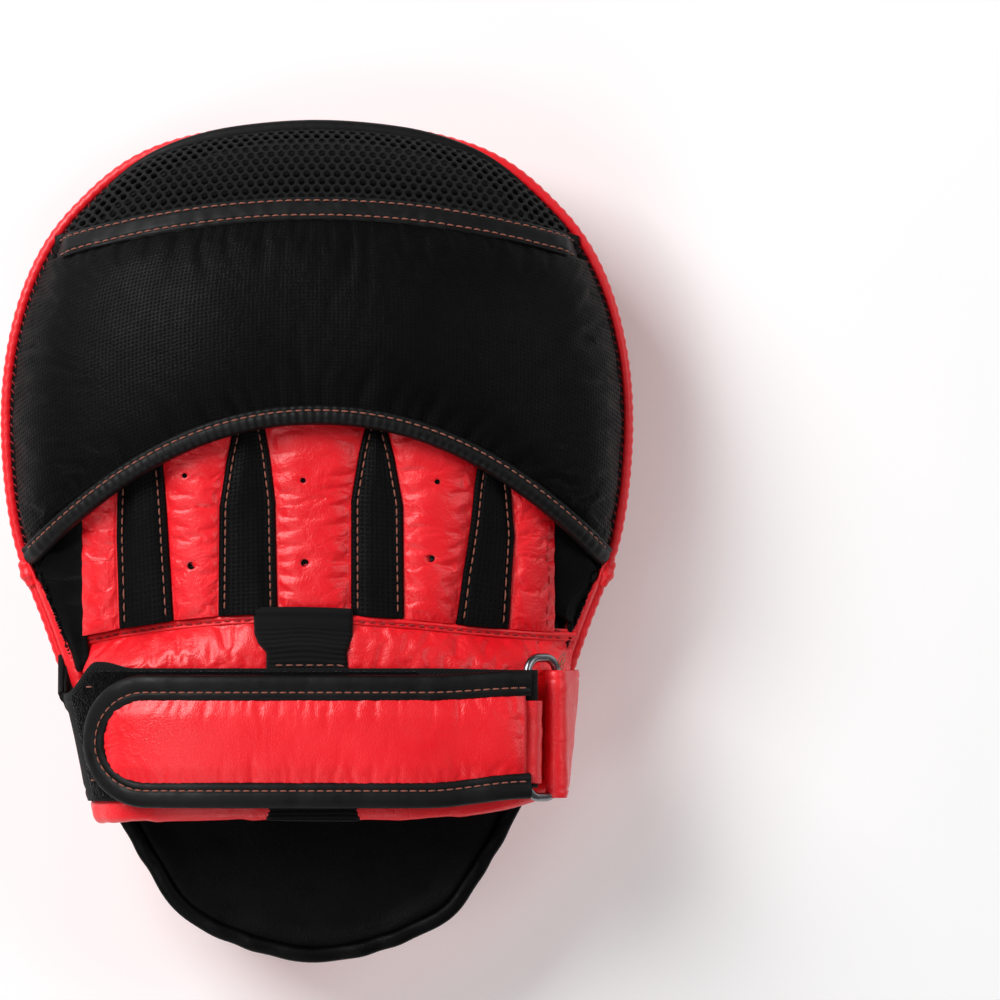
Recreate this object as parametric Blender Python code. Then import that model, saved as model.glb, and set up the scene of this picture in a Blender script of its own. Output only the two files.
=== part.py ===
"""Focus mitt for boxing pad work, hand side up, built from its separate pieces.

Frame: the origin is the centre of the striking face, which lies at z = 0. +Z points out of the hand side,
+Y towards the finger end and +X towards the side that carries the strap ring. Lengths are in metres.
"""

import math

import bpy
from mathutils import Vector

GAP = 0.0003  # clearance between touching pieces
LEATHER = 0.0015  # thickness of the leather shells

# Paddle: half of the rear rim, from the finger end to the wrist end.
RIM_HALF = (
    (0.0, 0.1275),
    (0.0470, 0.1205),
    (0.0735, 0.1020),
    (0.0888, 0.0778),
    (0.0957, 0.0440),
    (0.0930, 0.0045),
    (0.0820, -0.0280),
    (0.0680, -0.0660),
    (0.0510, -0.0990),
    (0.0355, -0.1172),
    (0.0, -0.1275),
)
RIM_POINTS = 56
CURVE_STEPS = 12  # samples between two rim points before the loop is spaced evenly
FACE_INSET = 0.0068  # the striking face is this much smaller all round
FACE_FLAT_INSET = 0.018  # inside this the striking face is flat
FACE_SEAM_Z = 0.0078
FRONT_PIPING_RADIUS = 0.0015
REAR_PIPING_RADIUS = 0.0015
REAR_PIPING_INSET = 0.0012
REAR_PIPING_Z = 0.0388
STRIKE_FOAM_TOP = 0.0140
GEL_TOP = 0.0200
BACK_PANEL_BOTTOM = 0.0395
BACK_PANEL_TOP = 0.0410
BACK_PANEL_INSET = 0.0030
WALL_REAR_INSET = 0.0006
WALL_MIDDLE = (0.0031, 0.0240)  # inset and height at which the gusset's wall changes slope
EYELET_RADIUS = 0.0028
EYELET_WIRE = 0.0009
EYELET_STAND = 0.0006  # clearance between the eyelet's wire and the wall
EYELET_LEAN = math.radians(13)
EYELET_SPOTS = ((-1, 0.0750), (1, 0.0750), (-1, -0.0290), (1, -0.0290))
EYELET_POINTS = 16

# Hood and glove shells: both rise from the rim, measured from SHELL_BASE.
SHELL_BASE = BACK_PANEL_TOP + 0.0015
HOOD_HEIGHT = 0.0340
HOOD_REACH = 0.0850  # distance from the rim at which the hood is at full height
HOOD_POWER = 0.62
GLOVE_HEIGHT = 0.0250
GLOVE_REACH = 0.0700
BAND_LOW_Y = 0.0973
BAND_WIDTH = 0.0067
BAND_DROP = 0.0120  # how far the band's ends lie below its middle
BAND_HALF = 0.0800
ARCH_TOP_Y = 0.0350
ARCH_DROP = 0.0410
ARCH_HALF = 0.0840
ARCH_POWER = 2.1
HOOD_CORNER_Y = -0.0020  # where the hood's lower edge meets the rim
BINDING_WIDTH = 0.0060
BINDING_LIFT = 0.0009
BINDING_THICKNESS = 0.0034
TUCK = 0.0080  # how far the glove panels run in under the hood
PADDING_INSET = 0.0130
PADDING_THICKNESS = 0.0035
PADDING_SIDE_Y = (0.0060, 0.0960)

# Glove panels: x of each seam at the cuff, at the shoulder and at the arch.
GLOVE_LOW_Y = -0.0228
SHOULDER_SHARE = 0.55
STRIP_SEAMS = (
    ((-0.0601, -0.0610, -0.0605), (-0.0436, -0.0455, -0.0475)),
    ((-0.0300, -0.0297, -0.0245), (-0.0120, -0.0127, -0.0170)),
    ((0.0103, 0.0103, 0.0160), (0.0264, 0.0261, 0.0198)),
    ((0.0421, 0.0467, 0.0495), (0.0583, 0.0601, 0.0580)),
)
GLOVE_LEFT = -0.0717
GLOVE_RIGHT = 0.0726
WALL_CLEARANCE = 0.0026  # between a side wall's outer edge and the rim
LINING_THICKNESS = 0.0010
LINING_INSET = 0.0010
GRIP_RADIUS = 0.0280
GRIP_HEIGHT = 0.0115
GRIP_Y = 0.0050

# Cuff: its side edges at the glove seam and at the wrist mouth.
CUFF_TOP_Y = -0.0231
CUFF_SEAM_Y = -0.0300
CUFF_HEM_Y = -0.0795
CUFF_MOUTH_Y = -0.0865
CUFF_LEFT = (-0.0730, -0.0665)
CUFF_RIGHT = (0.0787, 0.0726)
CUFF_HEIGHT = 0.0260
CUFF_FULL_Y = -0.0380  # beyond this the cuff has its full, square-shouldered section
ELASTIC_LEFT = -0.0186
ELASTIC_RIGHT = 0.0110
HEM_THICKNESS = 0.0040
CUFF_LINING_INSET = 0.0030

# Strap: layers are offsets from the cuff's section.
STRAP_CENTRE = 0.0029
STRAP_HALF_RIGHT = 0.0753
STRAP_BASE_LEFT = (-0.0797, -0.0698)
STRAP_BASE_Y = (-0.0385, -0.0795)
STRAP_BASE_END_X = 0.0615
STRAP_BASE_END_Z = 0.0220
STRAP_BASE_BEND_Z = SHELL_BASE - 0.0040  # below this the under-run is straight
PILE_END_X = 0.0300
PILE_INSET = 0.0010
HOOK_X = (-0.0460, -0.0060)
BASE_OFFSET = 0.0019  # outer face of the under-run
PILE_OFFSET = 0.0032
HOOK_OFFSET = 0.0045
CORE_OFFSET = 0.0064
FACE_OFFSET = 0.0079
BINDING_OFFSET = 0.0085
FLAP_TIP_X = -0.0720
FLAP_Y = (-0.0410, -0.0817)
FLAP_RING_Y = (-0.0398, -0.0747)
FLAP_NARROW_FROM_X = 0.0330
FLAP_RISE_FROM_X = 0.0420
FLAP_RISE = 0.0030  # how far the flap lifts to pass over the ring
FLAP_CORNER = 0.0165
FLAP_FACE_THICKNESS = 0.0012
FLAP_BINDING_THICKNESS = 0.0040
FLAP_EDGE = 0.0076  # width of the flap's binding
FLAP_END_X = 0.0575

# Ring and its two bars, seen in the x-z plane.
WIRE_RADIUS = 0.00135
INNER_BAR = (0.0638, 0.0665)
OUTER_BAR = (0.0728, 0.0588)
RING_Y = (-0.0364, -0.0781)
RING_CORNER = 0.0030
TAB_THICKNESS = 0.0014
TAB_OUTER_X = 0.0797
TAB_BEND_Z = 0.0470
TAB_END_Z = 0.0260

MATERIALS = {}


def material(name, colour, roughness, metallic=0.0):
    """A Principled material, made once for each name."""
    if name not in MATERIALS:
        made = bpy.data.materials.new(name)
        made.use_nodes = True
        shader = made.node_tree.nodes["Principled BSDF"]
        shader.inputs["Base Color"].default_value = (*colour, 1.0)
        shader.inputs["Roughness"].default_value = roughness
        shader.inputs["Metallic"].default_value = metallic
        made.diffuse_color = (*colour, 1.0)
        MATERIALS[name] = made
    return MATERIALS[name]


def red_leather():
    return material("red_leather", (0.80, 0.025, 0.035), 0.42)


def black_leather():
    return material("black_leather", (0.012, 0.012, 0.013), 0.50)


def black_textile():
    return material("black_textile", (0.018, 0.018, 0.020), 0.85)


def foam():
    return material("foam", (0.33, 0.33, 0.35), 0.90)


def gel():
    return material("gel", (0.08, 0.20, 0.42), 0.35)


def steel():
    return material("steel", (0.60, 0.61, 0.63), 0.25, 1.0)


# Numbers and curves


def mix(a, b, share):
    return a + (b - a) * share


def smooth_step(share):
    share = min(max(share, 0.0), 1.0)
    return share * share * (3.0 - 2.0 * share)


def spread(low, high, count):
    """Evenly spaced values from low to high, both included."""
    return [mix(low, high, i / (count - 1)) for i in range(count)]


def crowded(low, high, count):
    """Values from low to high that crowd together towards both ends, where a shell is steep."""
    middle = (low + high) / 2
    return [middle - (high - low) / 2 * math.cos(math.pi * i / (count - 1)) for i in range(count)]


def catmull_rom(before, start, end, after, share):
    """A point between start and end on the smooth curve through all four."""
    straight = end - before
    bend = before * 2 - start * 5 + end * 4 - after
    twist = start * 3 - before - end * 3 + after
    return (start * 2 + straight * share + bend * share**2 + twist * share**3) / 2


def even_loop(points, count):
    """The closed smooth curve through the points, as count points the same distance apart."""
    fine = []
    total = len(points)
    for i in range(total):
        around = [points[(i + k) % total] for k in (-1, 0, 1, 2)]
        fine += [catmull_rom(*around, step / CURVE_STEPS) for step in range(CURVE_STEPS)]
    lengths = [(fine[(i + 1) % len(fine)] - fine[i]).length for i in range(len(fine))]
    spacing = sum(lengths) / count
    loop = []
    walked = 0.0
    for i, length in enumerate(lengths):
        while len(loop) < count and len(loop) * spacing <= walked + length:
            share = (len(loop) * spacing - walked) / length
            loop.append(fine[i].lerp(fine[(i + 1) % len(fine)], share))
        walked += length
    return loop


def rim_shape():
    right = [Vector(point) for point in RIM_HALF]
    left = [Vector((-point.x, point.y)) for point in reversed(right[1:-1])]
    return even_loop(right + left, RIM_POINTS)


RIM = rim_shape()


def inward(index):
    along = RIM[(index + 1) % RIM_POINTS] - RIM[index - 1]
    return Vector((along.y, -along.x)).normalized()


def rim_loop(inset):
    """The rim moved inwards, clockwise seen from +Z."""
    return [RIM[i] + inward(i) * inset for i in range(RIM_POINTS)]


def rim_distance(x, y, inset):
    """Distance from (x, y) to the rim moved inwards by inset."""
    point = Vector((x, y))
    nearest = 1.0
    for i in range(RIM_POINTS):
        start = RIM[i]
        along = RIM[(i + 1) % RIM_POINTS] - start
        share = min(max((point - start).dot(along) / along.length_squared, 0.0), 1.0)
        nearest = min(nearest, (point - start - along * share).length)
    return max(nearest - inset, 0.0)


def crossing(loop, axis, value):
    """Where the loop's right or upper half crosses the given x (axis 0) or y (axis 1)."""
    other = 1 - axis
    best = 0.0
    for i in range(RIM_POINTS):
        start = loop[i]
        end = loop[(i + 1) % RIM_POINTS]
        if (start[axis] - value) * (end[axis] - value) <= 0 and start[axis] != end[axis]:
            share = (value - start[axis]) / (end[axis] - start[axis])
            best = max(best, mix(start[other], end[other], share))
    return best


SHELL_RIM = rim_loop(BACK_PANEL_INSET)


def rim_x(y):
    return crossing(SHELL_RIM, 1, y)


def rim_y(x):
    return crossing(SHELL_RIM, 0, x)


# Shell surfaces


def hood_point(x, y, lift=0.0):
    near = min(rim_distance(x, y, BACK_PANEL_INSET) / HOOD_REACH, 1.0)
    rise = (1.0 - (1.0 - near) ** 2) ** HOOD_POWER
    return Vector((x, y, SHELL_BASE + HOOD_HEIGHT * rise + lift))


def glove_point(x, y):
    near = min(rim_distance(x, y, BACK_PANEL_INSET) / GLOVE_REACH, 1.0)
    return Vector((x, y, SHELL_BASE + GLOVE_HEIGHT * (1.0 - (1.0 - near) ** 2)))


def cuff_edge(edge, y):
    return mix(edge[0], edge[1], (y - CUFF_TOP_Y) / (CUFF_MOUTH_Y - CUFF_TOP_Y))


def cuff_point(x, y):
    left = cuff_edge(CUFF_LEFT, y)
    right = cuff_edge(CUFF_RIGHT, y)
    across = min(abs(2 * x - left - right) / (right - left), 1.0)
    full = smooth_step((CUFF_TOP_Y - y) / (CUFF_TOP_Y - CUFF_FULL_Y))
    rise = (1.0 - across ** mix(2.0, 3.0, full)) ** mix(1.0, 0.5, full)
    return Vector((x, y, SHELL_BASE + mix(GLOVE_HEIGHT, CUFF_HEIGHT, full) * rise))


def strap_left(y):
    return mix(*STRAP_BASE_LEFT, (y - STRAP_BASE_Y[0]) / (STRAP_BASE_Y[1] - STRAP_BASE_Y[0]))


def strap_point(x, y, offset):
    """A point of the strap layer whose outer face is offset above the cuff's section."""
    half = STRAP_HALF_RIGHT if x > STRAP_CENTRE else STRAP_CENTRE - strap_left(y)
    across = min(abs(x - STRAP_CENTRE) / (half + offset), 1.0)
    return Vector((x, y, SHELL_BASE + (CUFF_HEIGHT + offset) * math.sqrt(1.0 - across**3)))


def arch_y(x):
    return ARCH_TOP_Y - ARCH_DROP * (abs(x) / ARCH_HALF) ** ARCH_POWER


def band_y(x, share):
    return BAND_LOW_Y + BAND_WIDTH * share - BAND_DROP * (x / BAND_HALF) ** 2


# Building


def clear_scene():
    for old in list(bpy.data.objects):
        bpy.data.objects.remove(old, do_unlink=True)


def joint_axis(name, bar):
    """An empty on a hinge axis, which carries the pieces that turn about it."""
    empty = bpy.data.objects.new(name, None)
    empty.empty_display_size = 0.01
    empty.location = (bar[0], (RING_Y[0] + RING_Y[1]) / 2, bar[1])
    bpy.context.collection.objects.link(empty)
    return empty


def add_object(name, data, surface, carrier=None):
    made = bpy.data.objects.new(name, data)
    data.materials.append(surface)
    bpy.context.collection.objects.link(made)
    if carrier:
        made.parent = carrier
        bpy.context.view_layer.update()
        world = carrier.matrix_world.translation
        if made.type == "MESH":
            data.transform(carrier.matrix_world.inverted())
        else:
            made.location = -world
    return made


def add_mesh(name, points, faces, surface, carrier=None):
    mesh = bpy.data.meshes.new(name)
    mesh.from_pydata([tuple(point) for point in points], [], faces)
    mesh.shade_smooth()
    mesh.set_sharp_from_angle(angle=math.radians(40))
    return add_object(name, mesh, surface, carrier)


def sheet(name, rows, thickness, surface, depth=0.0, bevel=0.0, carrier=None):
    """A thin piece: a grid of points, left to right and bottom to top, thickened downwards from depth."""
    across = len(rows[0])
    faces = []
    for r in range(len(rows) - 1):
        for c in range(across - 1):
            first = r * across + c
            faces.append((first, first + 1, first + across + 1, first + across))
    made = add_mesh(name, [point for row in rows for point in row], faces, surface, carrier)
    solidify = made.modifiers.new("thickness", "SOLIDIFY")
    solidify.thickness = thickness
    solidify.offset = -1.0 - 2.0 * depth / thickness
    if bevel:
        rounding = made.modifiers.new("rounding", "BEVEL")
        rounding.width = bevel
        rounding.segments = 2
        rounding.limit_method = "ANGLE"
        rounding.angle_limit = math.radians(50)
    return made


def loft(name, profile, surface, ring=False):
    """Loops of the rim at each (inset, z), joined in order: a capped solid, or a closed ring."""
    points = []
    for inset, z in profile:
        points += [(p.x, p.y, z) for p in rim_loop(inset)]
    faces = []
    steps = len(profile) if ring else len(profile) - 1
    for level in range(steps):
        low = level * RIM_POINTS
        high = (level + 1) % len(profile) * RIM_POINTS
        for i in range(RIM_POINTS):
            j = (i + 1) % RIM_POINTS
            faces.append((low + i, high + i, high + j, low + j))
    if not ring:
        faces.append(tuple(range(RIM_POINTS)))
        faces.append(tuple(reversed(range(steps * RIM_POINTS, (steps + 1) * RIM_POINTS))))
    return add_mesh(name, points, faces, surface)


def tube(name, points, radius, surface, sides=1, carrier=None):
    """A closed loop of round wire or cord."""
    curve = bpy.data.curves.new(name, "CURVE")
    curve.dimensions = "3D"
    curve.fill_mode = "FULL"
    curve.bevel_depth = radius
    curve.bevel_resolution = sides
    spline = curve.splines.new("POLY")
    spline.points.add(len(points) - 1)
    for spot, point in zip(spline.points, points):
        spot.co = (*point, 1.0)
    spline.use_cyclic_u = True
    return add_object(name, curve, surface, carrier)


# Paddle


def face_cover():
    outer = (
        (FACE_FLAT_INSET, 0.0),
        (0.0128, 0.0005),
        (0.0095, 0.0021),
        (0.0076, 0.0047),
        (FACE_INSET, FACE_SEAM_Z),
    )
    inner = (
        (FACE_INSET + LEATHER, FACE_SEAM_Z),
        (0.0090, 0.0053),
        (0.0106, 0.0032),
        (0.0134, 0.0019),
        (FACE_FLAT_INSET, LEATHER),
    )
    loft("strike_face_cover", outer + inner, black_leather())


def paddle_padding():
    front = (
        (FACE_FLAT_INSET, LEATHER + GAP),
        (0.0137, 0.0023),
        (0.0111, 0.0037),
        (0.0096, 0.0058),
        (0.0089, 0.0080),
        (0.0089, STRIKE_FOAM_TOP),
    )
    loft("strike_foam", front, foam())
    loft("shock_gel_sheet", ((0.0086, STRIKE_FOAM_TOP + GAP), (0.0072, GEL_TOP)), gel())
    back = ((0.0070, GEL_TOP + GAP), (0.0036, 0.0360), (0.0032, BACK_PANEL_BOTTOM - GAP))
    loft("backing_foam", back, foam())
    panel = ((BACK_PANEL_INSET, BACK_PANEL_BOTTOM), (BACK_PANEL_INSET, BACK_PANEL_TOP))
    loft("back_panel", panel, black_leather())


def piping(name, inset, z, radius):
    points = [(p.x, p.y, z) for p in rim_loop(inset)]
    tube(name, points, radius, red_leather())


def gusset():
    front_z = FACE_SEAM_Z + GAP + FRONT_PIPING_RADIUS
    piping("front_piping", FACE_INSET - 0.0002, front_z, FRONT_PIPING_RADIUS)
    piping("rear_piping", REAR_PIPING_INSET, REAR_PIPING_Z, REAR_PIPING_RADIUS)
    low = front_z + FRONT_PIPING_RADIUS + GAP
    high = REAR_PIPING_Z - REAR_PIPING_RADIUS - GAP
    wall = (
        WALL_MIDDLE,
        (WALL_REAR_INSET, high),
        (WALL_REAR_INSET + LEATHER, high),
        (WALL_MIDDLE[0] + LEATHER, WALL_MIDDLE[1]),
        (FACE_INSET + LEATHER, low),
        (FACE_INSET, low),
    )
    loft("side_gusset", wall, red_leather(), ring=True)


def eyelet(number, side, y):
    """A metal vent eyelet, flat against the gusset's slanted wall."""
    wall_x = crossing(rim_loop(WALL_MIDDLE[0]), 1, y)
    ahead = crossing(rim_loop(WALL_MIDDLE[0]), 1, y + 0.002)
    along = Vector((side * (ahead - wall_x), 0.002, 0.0)).normalized()
    outward = Vector((side * along.y, -side * along.x, 0.0))
    facing = (outward * math.cos(EYELET_LEAN) - Vector((0, 0, math.sin(EYELET_LEAN)))).normalized()
    upward = facing.cross(along).normalized()
    centre = Vector((side * wall_x, y, WALL_MIDDLE[1])) + facing * (EYELET_WIRE + EYELET_STAND)
    points = []
    for i in range(EYELET_POINTS):
        turn = 2 * math.pi * i / EYELET_POINTS
        points.append(centre + (along * math.cos(turn) + upward * math.sin(turn)) * EYELET_RADIUS)
    tube(f"vent_eyelet_{number}", points, EYELET_WIRE, steel())


# Hood


def curved_row(centre_y, side_x, side_y, power, across, place, lift=0.0):
    """A row of the hood: highest at the middle, bending down to the same place on both sides."""
    row = []
    for x in crowded(-side_x, side_x, across):
        y = centre_y - (centre_y - side_y) * (abs(x) / side_x) ** power
        row.append(place(x, y, lift))
    return row


def band_end(share):
    """Where an edge of the band meets the rim."""
    low = 0.05
    high = BAND_HALF + 0.01
    for _ in range(30):
        middle = (low + high) / 2
        if band_y(middle, share) < rim_y(middle):
            low = middle
        else:
            high = middle
    return low


def hood():
    rows = []
    for i in range(6):
        share = 1.0 - math.cos(math.pi / 2 * i / 5)
        tip = band_end(1.0) - 0.0006
        row = []
        for x in crowded(-tip, tip, 19):
            low = band_y(x, 1.0) + GAP
            high = max(rim_y(x), low + 0.0002)
            row.append(hood_point(x, mix(low, high, math.sin(math.pi / 2 * i / 5))))
        rows.append(row)
    sheet("hood_mesh", rows, LEATHER, black_textile())

    rows = []
    for share in (0.0, 0.5, 1.0):
        end = band_end(share) - 0.0003
        rows.append([hood_point(x, band_y(x, share)) for x in crowded(-end, end, 19)])
    sheet("hood_band", rows, LEATHER, black_textile())

    top_x = band_end(0.0)
    rows = []
    for i in range(11):
        share = i / 10
        side_y = mix(HOOD_CORNER_Y, band_y(top_x, 0.0) - GAP, share)
        centre_y = mix(ARCH_TOP_Y + BINDING_WIDTH + GAP, BAND_LOW_Y - GAP, share)
        side_x = rim_x(side_y) if share < 1.0 else top_x - 0.0002
        rows.append(curved_row(centre_y, side_x, side_y, mix(ARCH_POWER, 2.0, share), 21, hood_point))
    sheet("hood_leather", rows, LEATHER, black_leather())

    rows = []
    for share in (0.0, 0.5, 1.0):
        side_y = mix(HOOD_CORNER_Y - BINDING_WIDTH, HOOD_CORNER_Y - GAP, share)
        centre_y = mix(ARCH_TOP_Y, ARCH_TOP_Y + BINDING_WIDTH, share)
        rows.append(curved_row(centre_y, rim_x(side_y), side_y, ARCH_POWER, 25, hood_point, BINDING_LIFT))
    sheet("hood_binding", rows, BINDING_THICKNESS, black_leather(), bevel=0.0010)

    inner = rim_loop(PADDING_INSET)
    rows = []
    for i in range(8):
        share = i / 7
        side_y = mix(*PADDING_SIDE_Y, share)
        centre_y = mix(ARCH_TOP_Y + BINDING_WIDTH + GAP, crossing(inner, 0, 0.0), share)
        side_x = crossing(inner, 1, side_y)
        rows.append(curved_row(centre_y, side_x, side_y, mix(ARCH_POWER, 2.4, share), 15, hood_point))
    depth = LEATHER + 2 * GAP
    sheet("hood_padding", rows, PADDING_THICKNESS, foam(), depth)


# Glove


def seam_x(seam, share):
    """x of a seam that runs from the cuff to its shoulder, then on to the arch."""
    if share < SHOULDER_SHARE:
        return mix(seam[0], seam[1], share / SHOULDER_SHARE)
    return mix(seam[1], seam[2], (share - SHOULDER_SHARE) / (1.0 - SHOULDER_SHARE))


def glove_panel(name, left, right, surface, columns):
    rows = []
    for share in spread(0.0, 1.0, 7):
        row = []
        for x in spread(seam_x(left, share) + GAP / 2, seam_x(right, share) - GAP / 2, columns):
            row.append(glove_point(x, mix(GLOVE_LOW_Y, arch_y(x) + TUCK, share)))
        rows.append(row)
    sheet(name, rows, LEATHER, surface)


def glove():
    edges = [(GLOVE_LEFT,) * 3]
    for left, right in STRIP_SEAMS:
        edges += [left, right]
    edges.append((GLOVE_RIGHT,) * 3)
    for i in range(5):
        glove_panel(f"finger_panel_{i + 1}", edges[2 * i], edges[2 * i + 1], red_leather(), 4)
    for i in range(4):
        glove_panel(f"finger_strip_{i + 1}", edges[2 * i + 1], edges[2 * i + 2], black_leather(), 3)

    for side, edge, name in ((-1, -GLOVE_LEFT, "side_wall_left"), (1, GLOVE_RIGHT, "side_wall_right")):
        rows = []
        for share in spread(0.0, 1.0, 5):
            y = mix(GLOVE_LOW_Y, arch_y(edge), share)
            outer = rim_x(y) - WALL_CLEARANCE
            row = []
            for x in spread(edge + GAP, outer, 4):
                tuck = mix(TUCK, -0.0050, (x - edge) / (outer - edge)) * share
                drop = (arch_y(edge) - arch_y(x)) * share
                row.append(glove_point(side * x, y - drop + tuck))
            rows.append(row if side > 0 else row[::-1])
        sheet(name, rows, LEATHER, black_leather())

    rows = []
    for share in spread(0.0, 1.0, 6):
        row = []
        for x in spread(GLOVE_LEFT + LINING_INSET, GLOVE_RIGHT - LINING_INSET, 15):
            row.append(glove_point(x, mix(GLOVE_LOW_Y, arch_y(x) + TUCK, share)))
        rows.append(row)
    sheet("glove_lining", rows, LINING_THICKNESS, black_textile(), LEATHER + GAP)


def grip_pad():
    """A low foam dome in the palm, flat underneath."""
    around = 20
    rings = 4
    bottom = BACK_PANEL_TOP + GAP
    points = []
    for ring in range(rings):
        lean = math.pi / 2 * ring / rings
        for i in range(around):
            turn = 2 * math.pi * i / around
            radius = GRIP_RADIUS * math.cos(lean)
            height = bottom + GRIP_HEIGHT * math.sin(lean)
            points.append((radius * math.cos(turn), GRIP_Y + radius * math.sin(turn), height))
    points.append((0.0, GRIP_Y, bottom + GRIP_HEIGHT))
    faces = [tuple(reversed(range(around)))]
    for ring in range(rings - 1):
        for i in range(around):
            j = (i + 1) % around
            low = ring * around
            faces.append((low + i, low + j, low + around + j, low + around + i))
    for i in range(around):
        low = (rings - 1) * around
        faces.append((low + i, low + (i + 1) % around, rings * around))
    add_mesh("palm_grip_pad", points, faces, foam())


# Cuff


def cuff_sheet(name, left, right, ys, surface, columns, thickness=LEATHER, depth=0.0, bevel=0.0):
    """A piece of the cuff between two side edges; None stands for the cuff's own edge."""
    rows = []
    for y in reversed(ys):
        start = cuff_edge(CUFF_LEFT, y) if left is None else left
        end = cuff_edge(CUFF_RIGHT, y) if right is None else right
        xs = []
        for share in spread(0.0, 1.0, columns):
            if left is None:
                share = 1.0 - math.cos(share * math.pi / 2)
            elif right is None:
                share = math.sin(share * math.pi / 2)
            xs.append(mix(start, end, share))
        rows.append([cuff_point(x, y) for x in xs])
    sheet(name, rows, thickness, surface, depth, bevel)


def cuff():
    sides = (
        ("left", None, ELASTIC_LEFT - GAP),
        ("right", ELASTIC_RIGHT + GAP, None),
    )
    for side, left, right in sides:
        seam_ys = spread(CUFF_TOP_Y, CUFF_SEAM_Y, 3)
        cuff_sheet(f"cuff_seam_{side}", left, right, seam_ys, red_leather(), 9)
        panel_ys = spread(CUFF_SEAM_Y - 3 * GAP, CUFF_HEM_Y, 6)
        cuff_sheet(f"cuff_panel_{side}", left, right, panel_ys, red_leather(), 9)
        hem_ys = spread(CUFF_HEM_Y - GAP, CUFF_MOUTH_Y, 3)
        cuff_sheet(f"cuff_hem_{side}", left, right, hem_ys, red_leather(), 9, HEM_THICKNESS, 0.0, 0.0013)
    elastic_ys = spread(CUFF_TOP_Y, CUFF_MOUTH_Y, 9)
    cuff_sheet("elastic_insert", ELASTIC_LEFT, ELASTIC_RIGHT, elastic_ys, black_textile(), 4)
    rows = []
    for y in reversed(spread(CUFF_TOP_Y, CUFF_HEM_Y, 7)):
        left = cuff_edge(CUFF_LEFT, y) + CUFF_LINING_INSET
        xs = crowded(left, cuff_edge(CUFF_RIGHT, y) - CUFF_LINING_INSET, 15)
        rows.append([cuff_point(x, y) for x in xs])
    sheet("cuff_lining", rows, LINING_THICKNESS, black_textile(), LEATHER + 5 * GAP)


# Strap


def strap_base():
    """The under-run: from the left outer wall, up and over the cuff to the ring."""
    rows = []
    for y in spread(STRAP_BASE_Y[1], STRAP_BASE_Y[0], 5):
        left = strap_left(y) - BASE_OFFSET
        row = [Vector((left, y, z)) for z in spread(STRAP_BASE_END_Z, STRAP_BASE_BEND_Z, 3)]
        xs = []
        for share in spread(0.0, 1.0, 17):
            eased = 1.0 - math.cos(share * math.pi / 2)
            xs.append(mix(left, STRAP_BASE_END_X, eased))
        row += [strap_point(x, y, BASE_OFFSET) for x in xs]
        rows.append(row)
    rows = narrowed(rows)
    sheet("strap_base", rows, BASE_OFFSET - GAP, black_textile())
    rows = []
    for y in spread(STRAP_BASE_Y[1] + PILE_INSET, STRAP_BASE_Y[0] - PILE_INSET, 4):
        xs = [mix(strap_left(y), PILE_END_X, 1.0 - math.cos(s * math.pi / 2)) for s in spread(0.12, 1.0, 14)]
        rows.append([strap_point(x, y, PILE_OFFSET) for x in xs])
    sheet("strap_loop_pile", rows, PILE_OFFSET - BASE_OFFSET - GAP, black_textile())


def flap_low(x):
    share = smooth_step((x - FLAP_NARROW_FROM_X) / (INNER_BAR[0] - FLAP_NARROW_FROM_X))
    return mix(FLAP_Y[1], FLAP_RING_Y[1], share)


def flap_high(x):
    share = smooth_step((x - FLAP_NARROW_FROM_X) / (INNER_BAR[0] - FLAP_NARROW_FROM_X))
    return mix(FLAP_Y[0], FLAP_RING_Y[0], share)


def narrowed(rows):
    """The rows squeezed together towards the ring, so that they pass through it."""
    count = len(rows) - 1
    for r, row in enumerate(rows):
        for point in row:
            share = smooth_step((point.x - FLAP_NARROW_FROM_X) / (INNER_BAR[0] - FLAP_NARROW_FROM_X))
            point.y = mix(point.y, mix(*reversed(FLAP_RING_Y), r / count), share)
    return rows


def lifted(x, y, offset):
    """The flap's surface: it rises off the strap to pass over the ring's inner bar."""
    rise = smooth_step((x - FLAP_RISE_FROM_X) / (INNER_BAR[0] - FLAP_RISE_FROM_X))
    point = strap_point(x, y, offset)
    point.z += FLAP_RISE * rise
    return point


def tip_half(x, inset):
    """Half the flap's width near its rounded tip, relative to its full half width."""
    corner = FLAP_CORNER - inset
    reach = FLAP_TIP_X + inset + corner - x
    if reach <= 0.0:
        return 0.0
    return corner - math.sqrt(max(corner**2 - reach**2, 0.0))


def flap_column(x, inset, count, offset):
    trim = inset + tip_half(x, inset)
    ys = spread(flap_low(x) + trim, flap_high(x) - trim, count)
    return [lifted(x, y, offset) for y in ys]


def flap_columns(inset, end_x, count):
    start = FLAP_TIP_X + inset + 0.0002
    corner_end = start + FLAP_CORNER - inset
    tip = [mix(start, corner_end, 1.0 - math.cos(s * math.pi / 2)) for s in spread(0.0, 1.0, 5)]
    return tip[:-1] + spread(corner_end, end_x, count)


def columns_to_rows(columns):
    return [list(row) for row in zip(*columns)]


def wrap(bar, radius, start, end, count):
    """Points round a bar in the x-z plane, between two angles in degrees."""
    spots = []
    for angle in spread(math.radians(start), math.radians(end), count):
        spots.append((bar[0] + radius * math.cos(angle), bar[1] + radius * math.sin(angle)))
    return spots


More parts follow.
